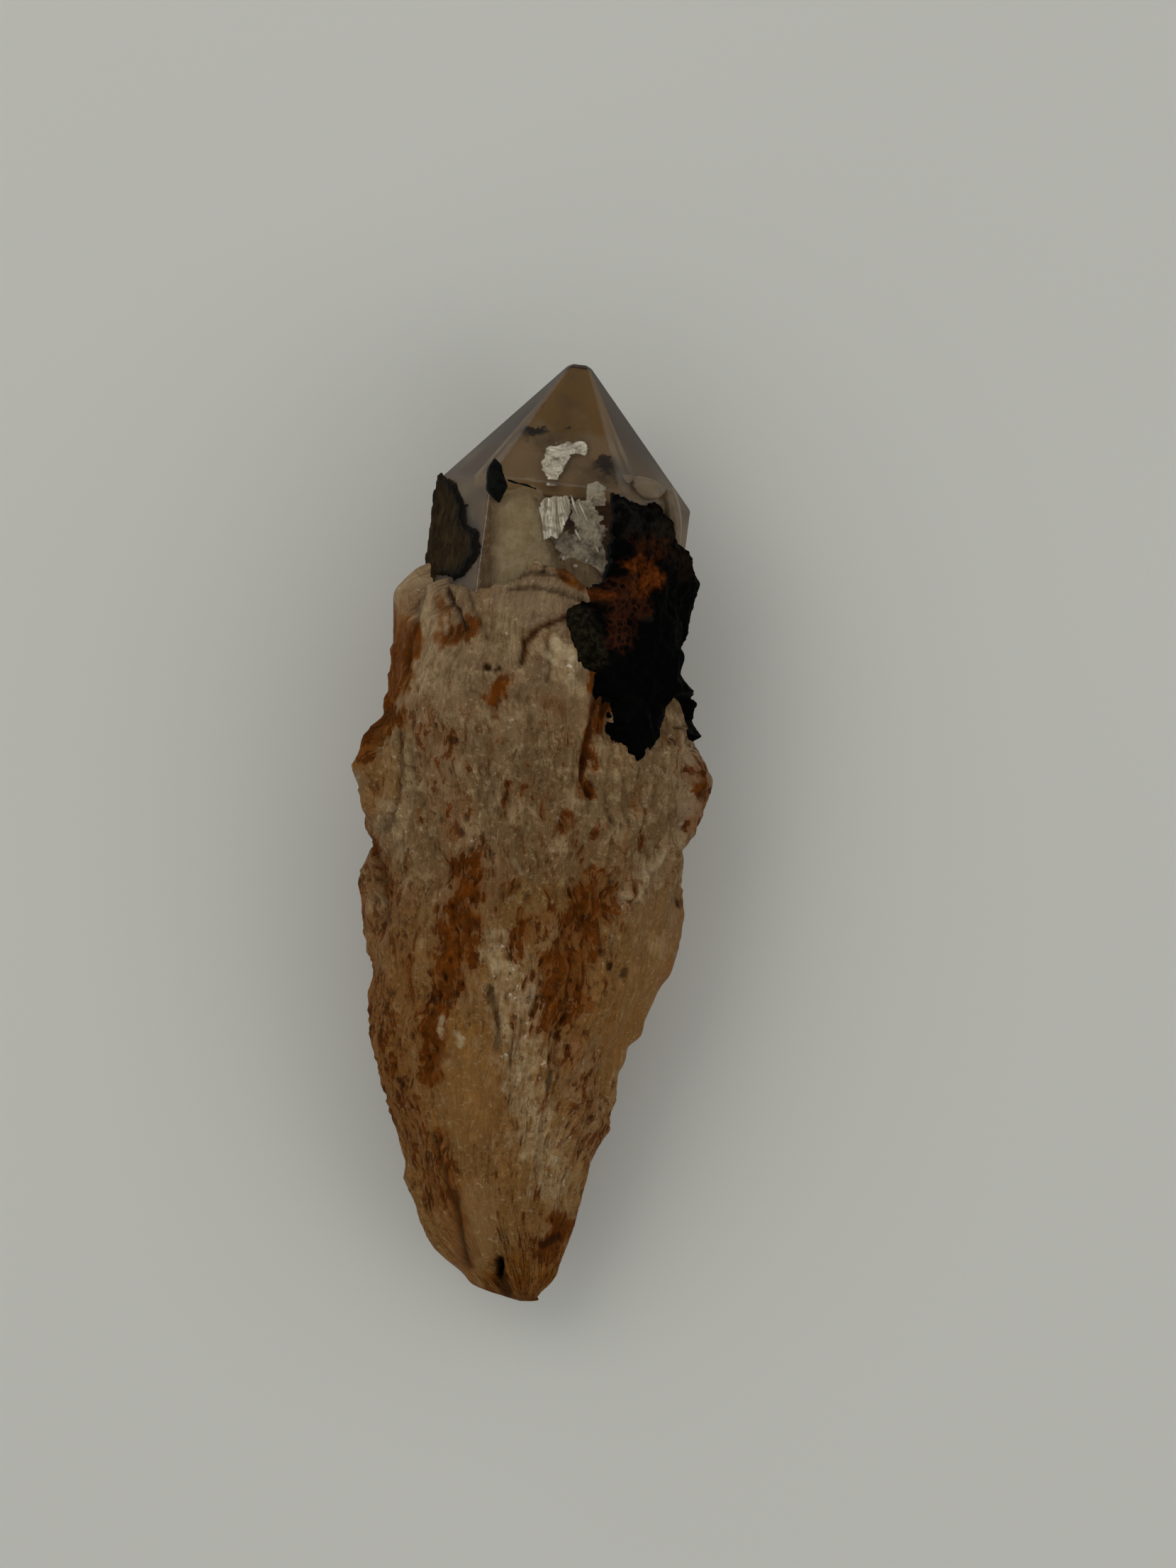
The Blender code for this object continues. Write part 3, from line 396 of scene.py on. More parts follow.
def blurred(grid, reach, wraps):
    """A grid averaged with its neighbours by a bell curve of this reach in cells. Columns may wrap round."""
    span = math.ceil(2.5 * reach)
    weights = np.exp(-0.5 * (np.arange(-span, span + 1) / reach) ** 2)
    weights = weights / weights.sum()
    for axis, mode in enumerate(("edge", "wrap" if wraps else "edge")):
        padding = [(0, 0), (0, 0)]
        padding[axis] = (span, span)
        padded = np.pad(grid, padding, mode=mode)
        cell = np.arange(grid.shape[axis])
        grid = sum(weight * np.take(padded, cell + shift, axis=axis) for shift, weight in enumerate(weights))
    return grid


def on_plan(places):
    """Where the camera sees each place on the plan plane: scaled out from under the eye by the ratio of depths."""
    scale = (EYE[2] - PLAN_HEIGHT) / (EYE[2] - places[..., 2:])
    return EYE[:2] + (places[..., :2] - EYE[:2]) * scale


def distance_to_line(plan, line):
    """How far each place on plan is from a bent line: the least distance to any of its straight stretches."""
    best = np.full(plan.shape[:-1], FAR)
    line = np.reshape(line, (-1, 2))
    for start, end in zip(line, line[1:]):
        along = end - start
        share = np.clip((plan - start) @ along / (along @ along), 0.0, 1.0)
        best = np.minimum(best, np.linalg.norm(plan - (start + share[..., None] * along), axis=-1))
    return best


def inside_outline(plan, outline):
    """Signed distance to a closed outline on plan, above zero inside it, where an odd number of its sides lies to the
    right of a place."""
    corners = np.reshape(outline, (-1, 2))
    inside = np.zeros(plan.shape[:-1], bool)
    for (x1, y1), (x2, y2) in zip(corners, np.roll(corners, -1, axis=0)):
        if y1 != y2:
            crossed = (y1 > plan[..., 1]) != (y2 > plan[..., 1])
            inside ^= crossed & (plan[..., 0] < x1 + (plan[..., 1] - y1) * (x2 - x1) / (y2 - y1))
    distance = distance_to_line(plan, np.vstack((corners, corners[:1])))
    return np.where(inside, distance, -distance)


def marks(table, shares, plan, ragged):
    """For each kind of mark in a table, the strongest at each place: full along the line, with an edge past the half
    width that is as ragged as the kind's share says."""
    result = {}
    for kind, share in shares.items():
        result[kind] = np.zeros(plan.shape[:-1])
        for half_width, strength, *line in table[kind]:
            distance = distance_to_line(plan, line) / half_width + share * ragged
            result[kind] = np.maximum(result[kind], strength * (1.0 - smooth_step(distance, 0.55, 1.35)))
    return result


def node_triangles(name):
    """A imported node's triangles as corners in millimetres."""
    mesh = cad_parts[name].data
    places = np.empty(len(mesh.vertices) * 3)
    mesh.vertices.foreach_get("co", places)
    mesh.calc_loop_triangles()
    corners = np.empty(len(mesh.loop_triangles) * 3, np.int32)
    mesh.loop_triangles.foreach_get("vertices", corners)
    return places.reshape(-1, 3)[corners].reshape(-1, 3, 3) / MM


def slice_of(triangles, distance):
    """The short lines, as pairs of (x, z), in which the plane at one distance along cuts the triangles."""
    side = triangles[:, :, 1] - distance
    crossing = (side.min(1) < 0.0) & (side.max(1) >= 0.0)
    start = triangles[crossing]
    side = side[crossing]
    end = np.roll(start, -1, axis=1)
    far = np.roll(side, -1, axis=1)
    cut = (side < 0.0) != (far < 0.0)
    share = np.where(cut, side / np.where(cut, side - far, 1.0), 0.0)
    place = start + (end - start) * share[..., None]
    two = np.argsort(~cut, axis=1, kind="stable")[:, :2]
    return np.take_along_axis(place, two[..., None], 1)[..., (0, 2)]


def cross(first, second):
    """The cross product of flat vectors, a single number each."""
    return first[..., 0] * second[..., 1] - first[..., 1] * second[..., 0]


def last_meeting(lines, middle, angles):
    """How far from the middle a line going out at each angle last meets the slice, or 0 where it never does."""
    if not len(lines):
        return np.zeros(len(angles))
    out = np.stack((np.cos(angles), np.sin(angles)), -1)[:, None]
    start = (lines[:, 0] - middle)[None]
    step = (lines[:, 1] - lines[:, 0])[None]
    turn = cross(out, step)
    turn = np.where(np.abs(turn) < 1e-9, 1e-9, turn)
    radius = cross(start, step) / turn
    share = cross(start, out) / turn
    met = (share > -1e-6) & (share < 1.0 + 1e-6) & (radius > 0.0)
    return np.where(met, radius, 0.0).max(1)


def smoothed_middle(middle, reach):
    """A running average of the rows' middles, over a window that shrinks to nothing at both ends."""
    rows = len(middle)
    total = np.vstack((np.zeros((1, 2)), np.cumsum(middle, axis=0)))
    row = np.arange(rows)
    half = np.minimum(np.minimum(row, rows - 1 - row), reach)
    return (total[row + half + 1] - total[row - half]) / (2 * half + 1)[:, None]


def polar_grids(distances, angles, reach, *names):
    """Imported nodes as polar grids: each row is a slice at one distance along, and each column a way out from the
    middle of the first node's slice, smoothed by this reach. Gives the middles, then each node's radii."""
    slices = [[slice_of(triangles, distance) for distance in distances] for triangles in map(node_triangles, names)]
    corners = [lines.reshape(-1, 2) for lines in slices[0]]
    middle = smoothed_middle(np.array([(places.min(0) + places.max(0)) / 2 for places in corners]), reach)
    return middle, *(np.array([last_meeting(*pair, angles) for pair in zip(lines, middle)]) for lines in slices)


def ring_places(angles, distances, middle, radius):
    """The places of a polar grid: out from each row's middle by the radius, at each column's angle."""
    x = middle[:, :1] + radius * np.cos(angles)
    z = middle[:, 1:] + radius * np.sin(angles)
    return np.stack((x, np.broadcast_to(distances[:, None], x.shape), z), -1)


def full_turn(count):
    """Evenly spaced angles all the way round."""
    return 2.0 * math.pi * np.arange(count) / count


def turned(points, degrees):
    """Points turned about Z."""
    cosine, sine = math.cos(math.radians(degrees)), math.sin(math.radians(degrees))
    return points @ np.array(((cosine, sine, 0.0), (-sine, cosine, 0.0), (0.0, 0.0, 1.0)))


def face_axes(degrees):
    """The direction out of the point's face at this angle round its axis, and the one along the face and level."""
    normal = ACROSS * math.cos(math.radians(degrees)) + OUT * math.sin(math.radians(degrees))
    return normal, np.cross(ALONG, normal)


def depth_in_point(places):
    """How deep each place is inside the clear point: the least distance to any of its six prism and six end faces."""
    local = places - TIP
    depth = np.full(places.shape[:-1], FAR)
    for face in range(6):
        reach = local @ face_axes(30 + 60 * face)[0]
        end = (TIP_APOTHEM - reach) * math.cos(END_SLOPE) - local @ ALONG * math.sin(END_SLOPE)
        depth = np.minimum(depth, np.minimum(APOTHEM - reach, end))
    return depth


def grid_quads(rows, columns, wraps):
    """The four-cornered faces of a grid, as vertex numbers, with each row's last column joined to its first if it
    wraps."""
    row, column = np.meshgrid(np.arange(rows - 1), np.arange(columns if wraps else columns - 1), indexing="ij")
    following = (column + 1) % columns
    low, high = row * columns, (row + 1) * columns
    return np.stack((low + column, high + column, high + following, low + following), -1).reshape(-1, 4)


def make_mesh(name, places, quads, triangles=(), smooth=True, **attributes):
    """A mesh object from arrays in millimetres. If its volume comes out negative, every face is turned round."""
    places = np.reshape(places, (-1, 3))
    triangles = np.reshape(triangles, (-1, 3)).astype(int)
    whole = np.vstack((quads[:, (0, 1, 2)], quads[:, (0, 2, 3)], triangles))
    a, b, c = (places[whole[:, corner]] for corner in range(3))
    if np.einsum("ij,ij->i", a, np.cross(b, c)).sum() < 0.0:
        quads = quads[:, ::-1]
        triangles = triangles[:, ::-1]
    loops = np.concatenate((quads.ravel(), triangles.ravel())).astype(np.int32)
    sizes = np.concatenate((np.full(len(quads), 4), np.full(len(triangles), 3)))
    mesh = bpy.data.meshes.new(name)
    mesh.vertices.add(len(places))
    mesh.vertices.foreach_set("co", (places * MM).astype(np.float32).ravel())
    mesh.loops.add(len(loops))
    mesh.loops.foreach_set("vertex_index", loops)
    mesh.polygons.add(len(sizes))
    mesh.polygons.foreach_set("loop_start", (np.cumsum(sizes) - sizes).astype(np.int32))
    mesh.update(calc_edges=True)
    mesh.polygons.foreach_set("use_smooth", np.full(len(sizes), smooth))
    for key, values in attributes.items():
        data = mesh.attributes.new(key, "FLOAT_VECTOR", "POINT").data
        data.foreach_set("vector", values.astype(np.float32).ravel())
    piece = bpy.data.objects.new(name, mesh)
    bpy.context.scene.collection.objects.link(piece)
    return piece


def closed_tube(name, places, ends, smooth=True, **attributes):
    """A grid of rings as a mesh object, closed by one more vertex at each end, where the attributes of the end ring
    are averaged."""
    rows, columns = places.shape[:2]
    column = np.arange(columns)
    following = (column + 1) % columns
    foot = np.full(columns, rows * columns)
    last = foot - columns
    fans = np.stack((foot, column, following), -1), np.stack((foot + 1, last + following, last + column), -1)
    points = np.vstack((places.reshape(-1, 3), ends))
    for key, values in attributes.items():
        attributes[key] = np.vstack((values.reshape(-1, 3), values[0].mean(0), values[-1].mean(0)))
    return make_mesh(name, points, grid_quads(rows, columns, True), np.vstack(fans), smooth, **attributes)


def closed_sheet(name, outer, inner, keep, **attributes):
    """The kept cells of a grid as a thin closed shell: an outer sheet, an inner one, and walls where a kept cell has
    no kept neighbour."""
    number = np.arange(outer[..., 0].size).reshape(outer.shape[:2])
    low, next_row, far, next_column = number[:-1, :-1], number[1:, :-1], number[1:, 1:], number[:-1, 1:]
    outside = np.pad(keep, 1)
    front = np.stack((low, next_row, far, next_column), -1)[keep]
    faces = [front, front[:, ::-1] + number.size]
    sides = (
        (outside[1:-1, :-2], next_row, low),
        (outside[1:-1, 2:], next_column, far),
        (outside[:-2, 1:-1], low, next_column),
        (outside[2:, 1:-1], far, next_row),
    )
    for neighbour, start, end in sides:
        faces.append(np.stack((start, end, end + number.size, start + number.size), -1)[keep & ~neighbour])
    used, quads = np.unique(np.vstack(faces), return_inverse=True)
    places = np.concatenate((outer, inner)).reshape(-1, 3)[used]
    for key, values in attributes.items():
        attributes[key] = np.concatenate((values, values)).reshape(-1, 3)[used]
    return make_mesh(name, places, quads.reshape(-1, 4), **attributes)


def kept_cells(inside, least=0.0):
    """The cells of a grid whose first and last corners lie inside by more than this much together."""
    return inside[:-1, :-1] + inside[1:, 1:] > least


def finish_piece(piece, material, slot, *nodes):
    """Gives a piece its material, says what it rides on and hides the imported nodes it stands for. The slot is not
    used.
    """
    piece.data.materials.append(material)
    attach(piece, "root")
    if nodes:
        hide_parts(*nodes)


def scaled(values, share):
    """A lighter or darker colour."""
    return [min(1.0, value * share) for value in values]


class Finish:
    """A material or a world under construction. Each method adds a node and gives back the socket that comes out."""

    def __init__(self, name, kind="materials"):
        self.owner = getattr(bpy.data, kind).new(name)
        self.owner.use_nodes = True
        self.tree = self.owner.node_tree
        self.tree.nodes.clear()

    def add(self, kind, inputs=None, **settings):
        node = self.tree.nodes.new(kind)
        for key, value in settings.items():
            setattr(node, key, value)
        for key, value in (inputs or {}).items():
            socket = node.inputs[key]
            if isinstance(value, bpy.types.NodeSocket):
                self.tree.links.new(value, socket)
            else:
                socket.default_value = (*value[:3], 1.0) if socket.type == "RGBA" else value
        return node

    def place(self):
        return self.add("ShaderNodeTexCoord").outputs["Object"]

    def attribute(self, name, output="Vector"):
        return self.add("ShaderNodeAttribute", attribute_name=name).outputs[output]

    def split(self, vector):
        return self.add("ShaderNodeSeparateXYZ", {0: vector}).outputs

    def noise(self, vector, scale, detail=3.0, roughness=0.55, distortion=0.0):
        inputs = {"Vector": vector, "Scale": scale, "Detail": detail, "Roughness": roughness}
        return self.add("ShaderNodeTexNoise", {**inputs, "Distortion": distortion}).outputs[0]

    def fit(self, value, low, high, start=0.0, end=1.0, **settings):
        return self.add("ShaderNodeMapRange", {0: value, 1: low, 2: high, 3: start, 4: end}, **settings).outputs[0]

    def sum(self, operation, first, second=0.0):
        return self.add("ShaderNodeMath", {0: first, 1: second}, operation=operation).outputs[0]

    def times(self, first, *others):
        for other in others:
            first = self.sum("MULTIPLY", first, other)
        return first

    def vector(self, operation, first, second=(0.0, 0.0, 0.0), output=0):
        return self.add("ShaderNodeVectorMath", {0: first, 1: second}, operation=operation).outputs[output]

    def mix(self, share, low, high):
        return self.add("ShaderNodeMix", {0: share, 6: low, 7: high}, data_type="RGBA").outputs[2]

    def over(self, base, *layers):
        """Layers over a base colour, each a share and a colour."""
        for share, layer in layers:
            base = self.mix(share, base, layer)
        return base

    def bump(self, height, distance, strength=1.0, normal=None):
        inputs = {"Height": height, "Distance": distance * MM, "Strength": strength}
        if normal is not None:
            inputs["Normal"] = normal
        return self.add("ShaderNodeBump", inputs).outputs[0]

    def surface(self, base, roughness, inputs=None, volume=None):
        """The whole material, with a Principled surface and perhaps a volume."""
        shader = self.add("ShaderNodeBsdfPrincipled", {"Base Color": base, "Roughness": roughness, **(inputs or {})})
        output = self.add("ShaderNodeOutputMaterial", {"Surface": shader.outputs[0]})
        if volume is not None:
            self.tree.links.new(volume, output.inputs["Volume"])
        return self.owner


def shade(name, text, default):
    """A colour among the settings."""
    limits = {"min": 0.0, "max": 1.0}
    return bpy.props.FloatVectorProperty(name=name, description=text, subtype="COLOR", default=default, **limits)


def amount(name, text, default, **limits):
    """A number among the settings, at least 0 unless its limits say otherwise."""
    return bpy.props.FloatProperty(name=name, description=text, default=default, **{"min": 0.0, **limits})


class MilkySettings(bpy.types.PropertyGroup):
    ridge: amount("Ridge height", "Height of the ridges along the sheath, in millimetres", 0.26)
    pit: amount("Pit depth", "Depth of the long pits in the sheath, in millimetres", 0.28)
    tan: shade("Tan", "Colour of the sheath", (0.183, 0.096, 0.026))
    pale: shade("Pale", "Colour of its milky parts", (0.53, 0.375, 0.19))
    rust: shade("Rust", "Colour of the iron stains", (0.185, 0.046, 0.003))
    blush: shade("Blush", "Colour of its pinkish parts", (0.27, 0.168, 0.09))
    ochre: shade("Ochre", "Colour of its orange parts", (0.3, 0.122, 0.018))


class PointSettings(bpy.types.PropertyGroup):
    smoke: shade("Smoke", "Colour that the clear quartz lets through", (0.72, 0.5, 0.2))
    density: amount("Smoke density", "How fast the clear quartz takes light, per metre", 90.0)
    satin: amount("Satin", "Roughness of the two etched faces beside the front one", 0.5, max=1.0)
    bend: amount("Refraction", "Refractive index of quartz", 1.544, min=1.0)


class CrustSettings(bpy.types.PropertyGroup):
    relief: amount("Relief", "Height of the crust's lumps, in millimetres", 0.4)
    black: shade("Black", "Colour of the iron oxide", (0.0008, 0.0007, 0.0006))
    rust: shade("Rust", "Colour of its orange rust", (0.085, 0.02, 0.003))


class StageSettings(bpy.types.PropertyGroup):
    floor: shade("Floor", "Colour of the pale floor", (0.755, 0.745, 0.672))
    sky: amount("Even light", "Strength of the light from all sides", 0.69)
    key: amount("Window light", "Power of the large soft light", 0.325, subtype="POWER")


def pits(places, seed, chance, low, high):
    """Pits round the points of some cells: whole up to the low distance from a point, and gone at the high one."""
    nearest, _, number = cells(places, seed)
    return np.where(number < chance, 1.0 - smooth_step(nearest, low, high), 0.0)


def body_surface(settings):
    """The milky body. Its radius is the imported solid's, softened, and sunk under the faces of the clear point where
    those are bare, so that it ends in a dome inside the point. To that come ridges, pits, cuts and grain:
    radius + ridge x (1 - |streaky noise|) - pit x (1 - distance to the nearest long cell) + cuts on plan."""
    even = full_turn(BODY_COLUMNS)
    angles = even + FRONT_SHARE * np.cos(even)
    distances = np.linspace(*BODY_SPAN, BODY_ROWS)
    middle, radius = polar_grids(distances, angles, 14, "quartz_crystal")
    in_faces = depth_in_point(ring_places(angles, distances, middle, radius)) > -FACE_SKIN
    soft = blurred(radius, 1.5, True)
    places = ring_places(angles, distances, middle, soft)
    plan = on_plan(places)
    across = plan[..., 0]
    along, turn = np.meshgrid(distances, angles, indexing="ij")
    rise = np.sin(turn)
    upper = smooth_step(rise, 0.05, 0.4)
    wide = smooth_step(rise, -0.45, -0.05)
    edge = np.where(upper > 0.0, np.interp(across, BARE_LINE[::2], BARE_LINE[1::2]), BACK_BARE)
    bare = in_faces & (plan[..., 1] > edge + 0.3 * layered_noise(places / 0.7, 2, 9))
    lip = blurred((in_faces & ~bare & (along > 8.0)).astype(float), 1.2, True)

    def flow(round_about, length):
        """Places in which noise runs in streaks that fan out from the root: many to the turn, and long."""
        return np.stack((np.cos(turn) * round_about, along / length, np.sin(turn) * round_about), -1)

    # The streaks wander a little from side to side.
    turn = turn + 0.07 * noise(flow(1.6, 9.0), 3) + 0.045 * noise(flow(5.0, 2.6), 4)
    broad = noise(flow(4.5, 12.0), 11)
    ridged = 1.0 - np.abs(layered_noise(flow(12.0, 4.2), 2, 12))
    fine = layered_noise(flow(27.0, 1.5), 2, 13)
    grain = noise(places / 0.33, 14)
    ragged = 0.45 * layered_noise(places / 0.9, 2, 15)
    rust, dark, pale, blush, ochre, polish, white = marks(MARKS, MARK_RAGGED, plan, ragged).values()

    clouds = layered_noise(places / 5.5, 2, 21)
    sides = 1.0 - smooth_step(rise, -0.2, 0.45)
    streaks = layered_noise(flow(17.0, 1.9), 3, 22)
    low_part = 1.0 - smooth_step(along, 4.0, 16.0)
    high_part = smooth_step(along, 2.0, 17.0)
    lower_half = 1.0 - smooth_step(along, -14.0, 2.0)
    rust = np.maximum(rust, sides * smooth_step(clouds, 0.1, 0.8) * 0.8)
    rust = np.clip(rust * (1.0 + 0.3 * streaks), 0.0, 1.0)
    rust = np.maximum(rust, low_part * (1.0 - 0.8 * polish) * smooth_step(streaks, 0.35, 1.1) * 0.7)
    pale = np.clip(pale * (0.7 + 0.6 * grain + 0.4 * fine) + 0.1 * high_part, 0.0, 1.0)
    pale = np.maximum(pale, smooth_step(layered_noise(flow(20.0, 1.6), 2, 23), 0.55, 1.2) * 0.55)
    ochre = np.maximum(ochre, 0.65 * lower_half * (1.0 - 0.8 * pale))
    blush = np.clip(blush + 0.3 * high_part + 0.3 * smooth_step(clouds, -1.0, -0.2), 0.0, 1.0)

    chance = 0.07 + 0.32 * rust + 0.08 * low_part - 0.25 * polish - 0.1 * high_part
    small = 0.8 * pits(flow(22.0, 1.0), 31, chance, 0.16, 0.46)
    pitted = np.maximum(small, pits(flow(12.0, 1.9), 32, chance * 0.45, 0.1, 0.36))
    dark = np.maximum(dark, pitted * (0.55 + 0.4 * rust))
    nearest, _, number = cells(flow(7.5, 2.3) + 0.3 * fine[..., None], 33)
    chips = 0.22 * (number - 0.5) + 0.16 * (nearest - 0.4)
    pale = np.clip(pale + 0.35 * (number - 0.5) * (1.0 - polish), 0.0, 1.0)

    size = np.clip(soft / 9.0, 0.25, 1.0)
    rough = size * (1.0 - 0.75 * polish) * (1.0 - 0.45 * high_part)
    raised = 0.3 * broad * size + rough * settings.ridge * (ridged - 0.62) * 1.6
    raised += rough * (0.055 * fine + 0.03 * grain + chips) - settings.pit * pitted * size
    raised += 0.36 * smooth_step(lip, 0.1, 0.8)
    for half_width, height, *line in BULGES:
        raised += height * np.exp(-((distance_to_line(plan, line) / half_width) ** 2))
    for half_width, height, *line in CUTS:
        profile = wide * np.exp(-((distance_to_line(plan, line) / half_width + 0.25 * ragged) ** 2))
        raised += height * profile
        if height < 0.0:
            dark = np.maximum(dark, 0.55 * profile)
    outer = soft + raised * smooth_step(along, BODY_SPAN[0], BODY_SPAN[0] + 1.5)

    leaves, slope = (np.interp(across, DOME_ACROSS, values) for values in (DOME_LEAVES, DOME_SLOPE))
    past = along - np.where(upper > 0.5, leaves, BACK_LEAVES) - 0.7 * ragged
    sink = 0.12 + np.where(upper > 0.5, slope, BACK_SLOPE) * np.maximum(past, 0.0)
    sink += (0.12 + 0.5 * smooth_step(past, 0.0, 3.0)) * np.abs(layered_noise(places / 1.3, 3, 41))
    top = np.clip((BODY_SPAN[1] - along) / DOME_TOP, 0.0, 1.0)
    inner = (soft - sink) * np.sqrt(1.0 - (1.0 - top) ** 2)
    share = smooth_step(blurred(1.0 - bare, 0.8, True), 0.25, 0.75)
    final = np.maximum(inner + (outer - inner) * share, 0.05)
    places = ring_places(angles, distances, middle, final)
    inside = 1.0 - share
    milk = np.interp(across, CORE_ACROSS, CORE_MILK) * upper
    # The white marks show as milky cream on the upper side. A few of them are painted highlights.
    core = np.maximum(inside * milk, white * upper * share)
    attributes = {
        "stain": (rust * share, dark * share, np.where(inside > 0.5, 0.04, pale)),
        "tint": (blush, ochre * share, np.maximum(polish, 0.3 * high_part)),
        "core": (core, inside, 0.0 * inside),
    }
    attributes = {key: np.stack(values, -1) for key, values in attributes.items()}
    ends = [(middle[row, 0], distances[row], middle[row, 1]) for row in (0, -1)]
    return places, ends, {**attributes, "flow": flow(10.0, 3.2)}


def milky_finish(settings):
    """Tan quartz with milky, pink, orange, rusty and dark parts where the attributes say, broken up by streaks, with
    painted highlights as near-white glints and white spots, and one faint patch of painted shade.
    """
    make = Finish("milky_quartz")
    place = make.place()
    flow = make.attribute("flow")
    rust, dark, pale = make.split(make.attribute("stain"))
    blush, ochre, polish = make.split(make.attribute("tint"))
    core, inside, _ = make.split(make.attribute("core"))
    streak = make.noise(flow, 2.2, 6.0, 0.66, 0.4)
    grain = make.noise(place, 2600.0, 4.0, 0.7)
    patch = make.noise(place, 900.0, 5.0, 0.65)
    cloud = make.noise(place, 260.0)
    rootward = make.fit(make.split(place)[1], 4.0 * MM, -18.0 * MM)
    tan = make.mix(rootward, settings.tan, scaled(settings.tan, 1.36))
    smooth = make.fit(polish, 0.0, 1.0, 1.0, 0.15)
    level = make.sum("ADD", streak, make.fit(rust, 0.0, 1.0, 0.0, 0.13))
    fleck = make.times(make.fit(level, 0.58, 0.605), smooth, make.fit(rust, 0.05, 0.5, 0.6, 1.0))
    brown = make.mix(make.fit(patch, 0.4, 0.6), scaled(settings.rust, 0.42), scaled(settings.rust, 0.85))
    stretched = make.vector("MULTIPLY", flow, (2.4, 0.8, 2.4))
    crack = make.sum("ABSOLUTE", make.sum("SUBTRACT", make.noise(stretched, 1.0, 5.0, 0.6, 0.3), 0.5))
    # Painted glints: tiny near-white specks in the colour, most on the milky parts and fewest on rust. They stand in
    # for specular highlights.
    painted_glint = make.fit(make.noise(place, 1500.0, 4.0, 0.6), 0.64, 0.69)
    painted_glint = make.times(painted_glint, make.fit(pale, 0.0, 1.0, 0.18, 1.0), make.fit(rust, 0.0, 0.6, 1.0, 0.2))
    milky = make.times(core, make.sum("MAXIMUM", inside, make.fit(grain, 0.36, 0.56, 0.3, 1.0)))
    base = make.over(
        make.mix(make.fit(cloud, 0.35, 0.65), tan, make.mix(0.25, tan, (0.0, 0.0, 0.0))),
        (blush, settings.blush),
        (make.times(pale, make.fit(grain, 0.35, 0.6, 0.3, 1.1)), settings.pale),
        (make.fit(patch, 0.53, 0.66, 0.0, 0.42), settings.pale),
        (make.times(ochre, make.fit(patch, 0.35, 0.6, 0.5, 1.0)), settings.ochre),
        (make.times(rust, make.fit(patch, 0.42, 0.58, 0.68, 1.0)), settings.rust),
        (fleck, brown),
        (make.times(make.fit(grain, 0.57, 0.63, 0.0, 0.6), smooth), scaled(settings.tan, 0.45)),
        (make.times(make.fit(grain, 0.42, 0.35), make.fit(rust, 0.0, 0.7, 0.45, 0.05)), settings.pale),
        (make.fit(crack, 0.0, 0.022, 0.5, 0.0), scaled(settings.tan, 0.35)),
        (painted_glint, (0.74, 0.62, 0.46)),
        # Dark marks: real stains and pits, and over the arch a patch of painted shade.
        (dark, (0.022, 0.0065, 0.0012)),
        (milky, make.mix(make.fit(patch, 0.4, 0.6), (0.57, 0.43, 0.235), (0.76, 0.62, 0.385))),
    )
    rough = make.sum("SUBTRACT", make.fit(grain, 0.3, 0.7, 0.4, 0.62), make.times(polish, 0.12))
    stained = make.sum("MAXIMUM", make.sum("MAXIMUM", rust, dark), ochre)
    others = {
        "Normal": make.bump(grain, 0.08, normal=make.bump(streak, 0.32, 0.9)),
        "Specular IOR Level": make.fit(stained, 0.1, 0.9, 0.09, 0.02),
        "Subsurface Weight": 0.05,
        "Subsurface Radius": (1.0, 0.7, 0.45),
        "Subsurface Scale": 0.6 * MM,
    }
    return make.surface(base, rough, others)


class CRYSTAL_OT_milky_body(bpy.types.Operator):
    """Builds the milky body with its sub-crystals, ridges, pits and stains"""

    bl_idname = "crystal.milky_body"
    bl_label = "Milky body"

    def execute(self, context):
        settings = context.scene.crystal_milky
        places, ends, attributes = body_surface(settings)
        piece = closed_tube("milky_body", places, ends, **attributes)
        finish_piece(piece, milky_finish(settings), "quartz", "quartz_crystal")
        return {"FINISHED"}


def hexagon_ring(length, radius, stretch=0.0, shift=(0.0, 0.0, 0.0)):
    """Six corners of the point at a distance below its tip: a regular hexagon, pulled apart across by the stretch."""
    turn = full_turn(6)
    side = radius * np.cos(turn)
    side = side + stretch * np.sign(np.round(side, 6))
    return TIP - ALONG * length + side[:, None] * ACROSS + (radius * np.sin(turn))[:, None] * OUT + shift


def point_surface():
    """The clear point: rings of six corners at its foot, its shoulder and its tip, closed by flat faces."""
    rings = (
        hexagon_ring(POINT_FOOT, CORNER_RADIUS - 0.4),
        hexagon_ring(POINT_FOOT - 0.5, CORNER_RADIUS),
        hexagon_ring((APOTHEM - TIP_APOTHEM) / math.tan(END_SLOPE), CORNER_RADIUS),
        hexagon_ring(0.1, APEX_RADIUS, APEX_STRETCH, APEX_SHIFT),
        hexagon_ring(-0.15, 0.5 * APEX_RADIUS, 0.7 * APEX_STRETCH, APEX_SHIFT),
    )
    last = 6 * (len(rings) - 1)
    foot, head = ((0, 1, 2, 3), (0, 3, 4, 5)), last + np.array(((3, 2, 1, 0), (5, 4, 3, 0)))
    return np.vstack(rings), np.vstack((grid_quads(len(rings), 6, True), foot, head))


def glass_finish(settings):
    """Smoky clear quartz, which lets light through, bends it as quartz does and takes some of it on the way."""
    make = Finish("clear_quartz")
    place = make.place()
    scratch = make.noise(place, 1500.0, 4.0, 0.7)
    relief = make.bump(scratch, 0.006, normal=make.bump(make.noise(place, 170.0, 2.0), 0.1, 0.55))
    rough = make.fit(make.noise(place, 420.0, 5.0, 0.7), 0.5, 0.72, 0.02, 0.16)
    rough = make.sum("MAXIMUM", rough, make.times(make.attribute("satin", "Fac"), settings.satin))
    volume = make.add("ShaderNodeVolumeAbsorption", {"Color": settings.smoke, "Density": settings.density})
    others = {"Normal": relief, "IOR": settings.bend, "Transmission Weight": 1.0}
    return make.surface((0.98, 0.95, 0.86), rough, others, volume.outputs[0])


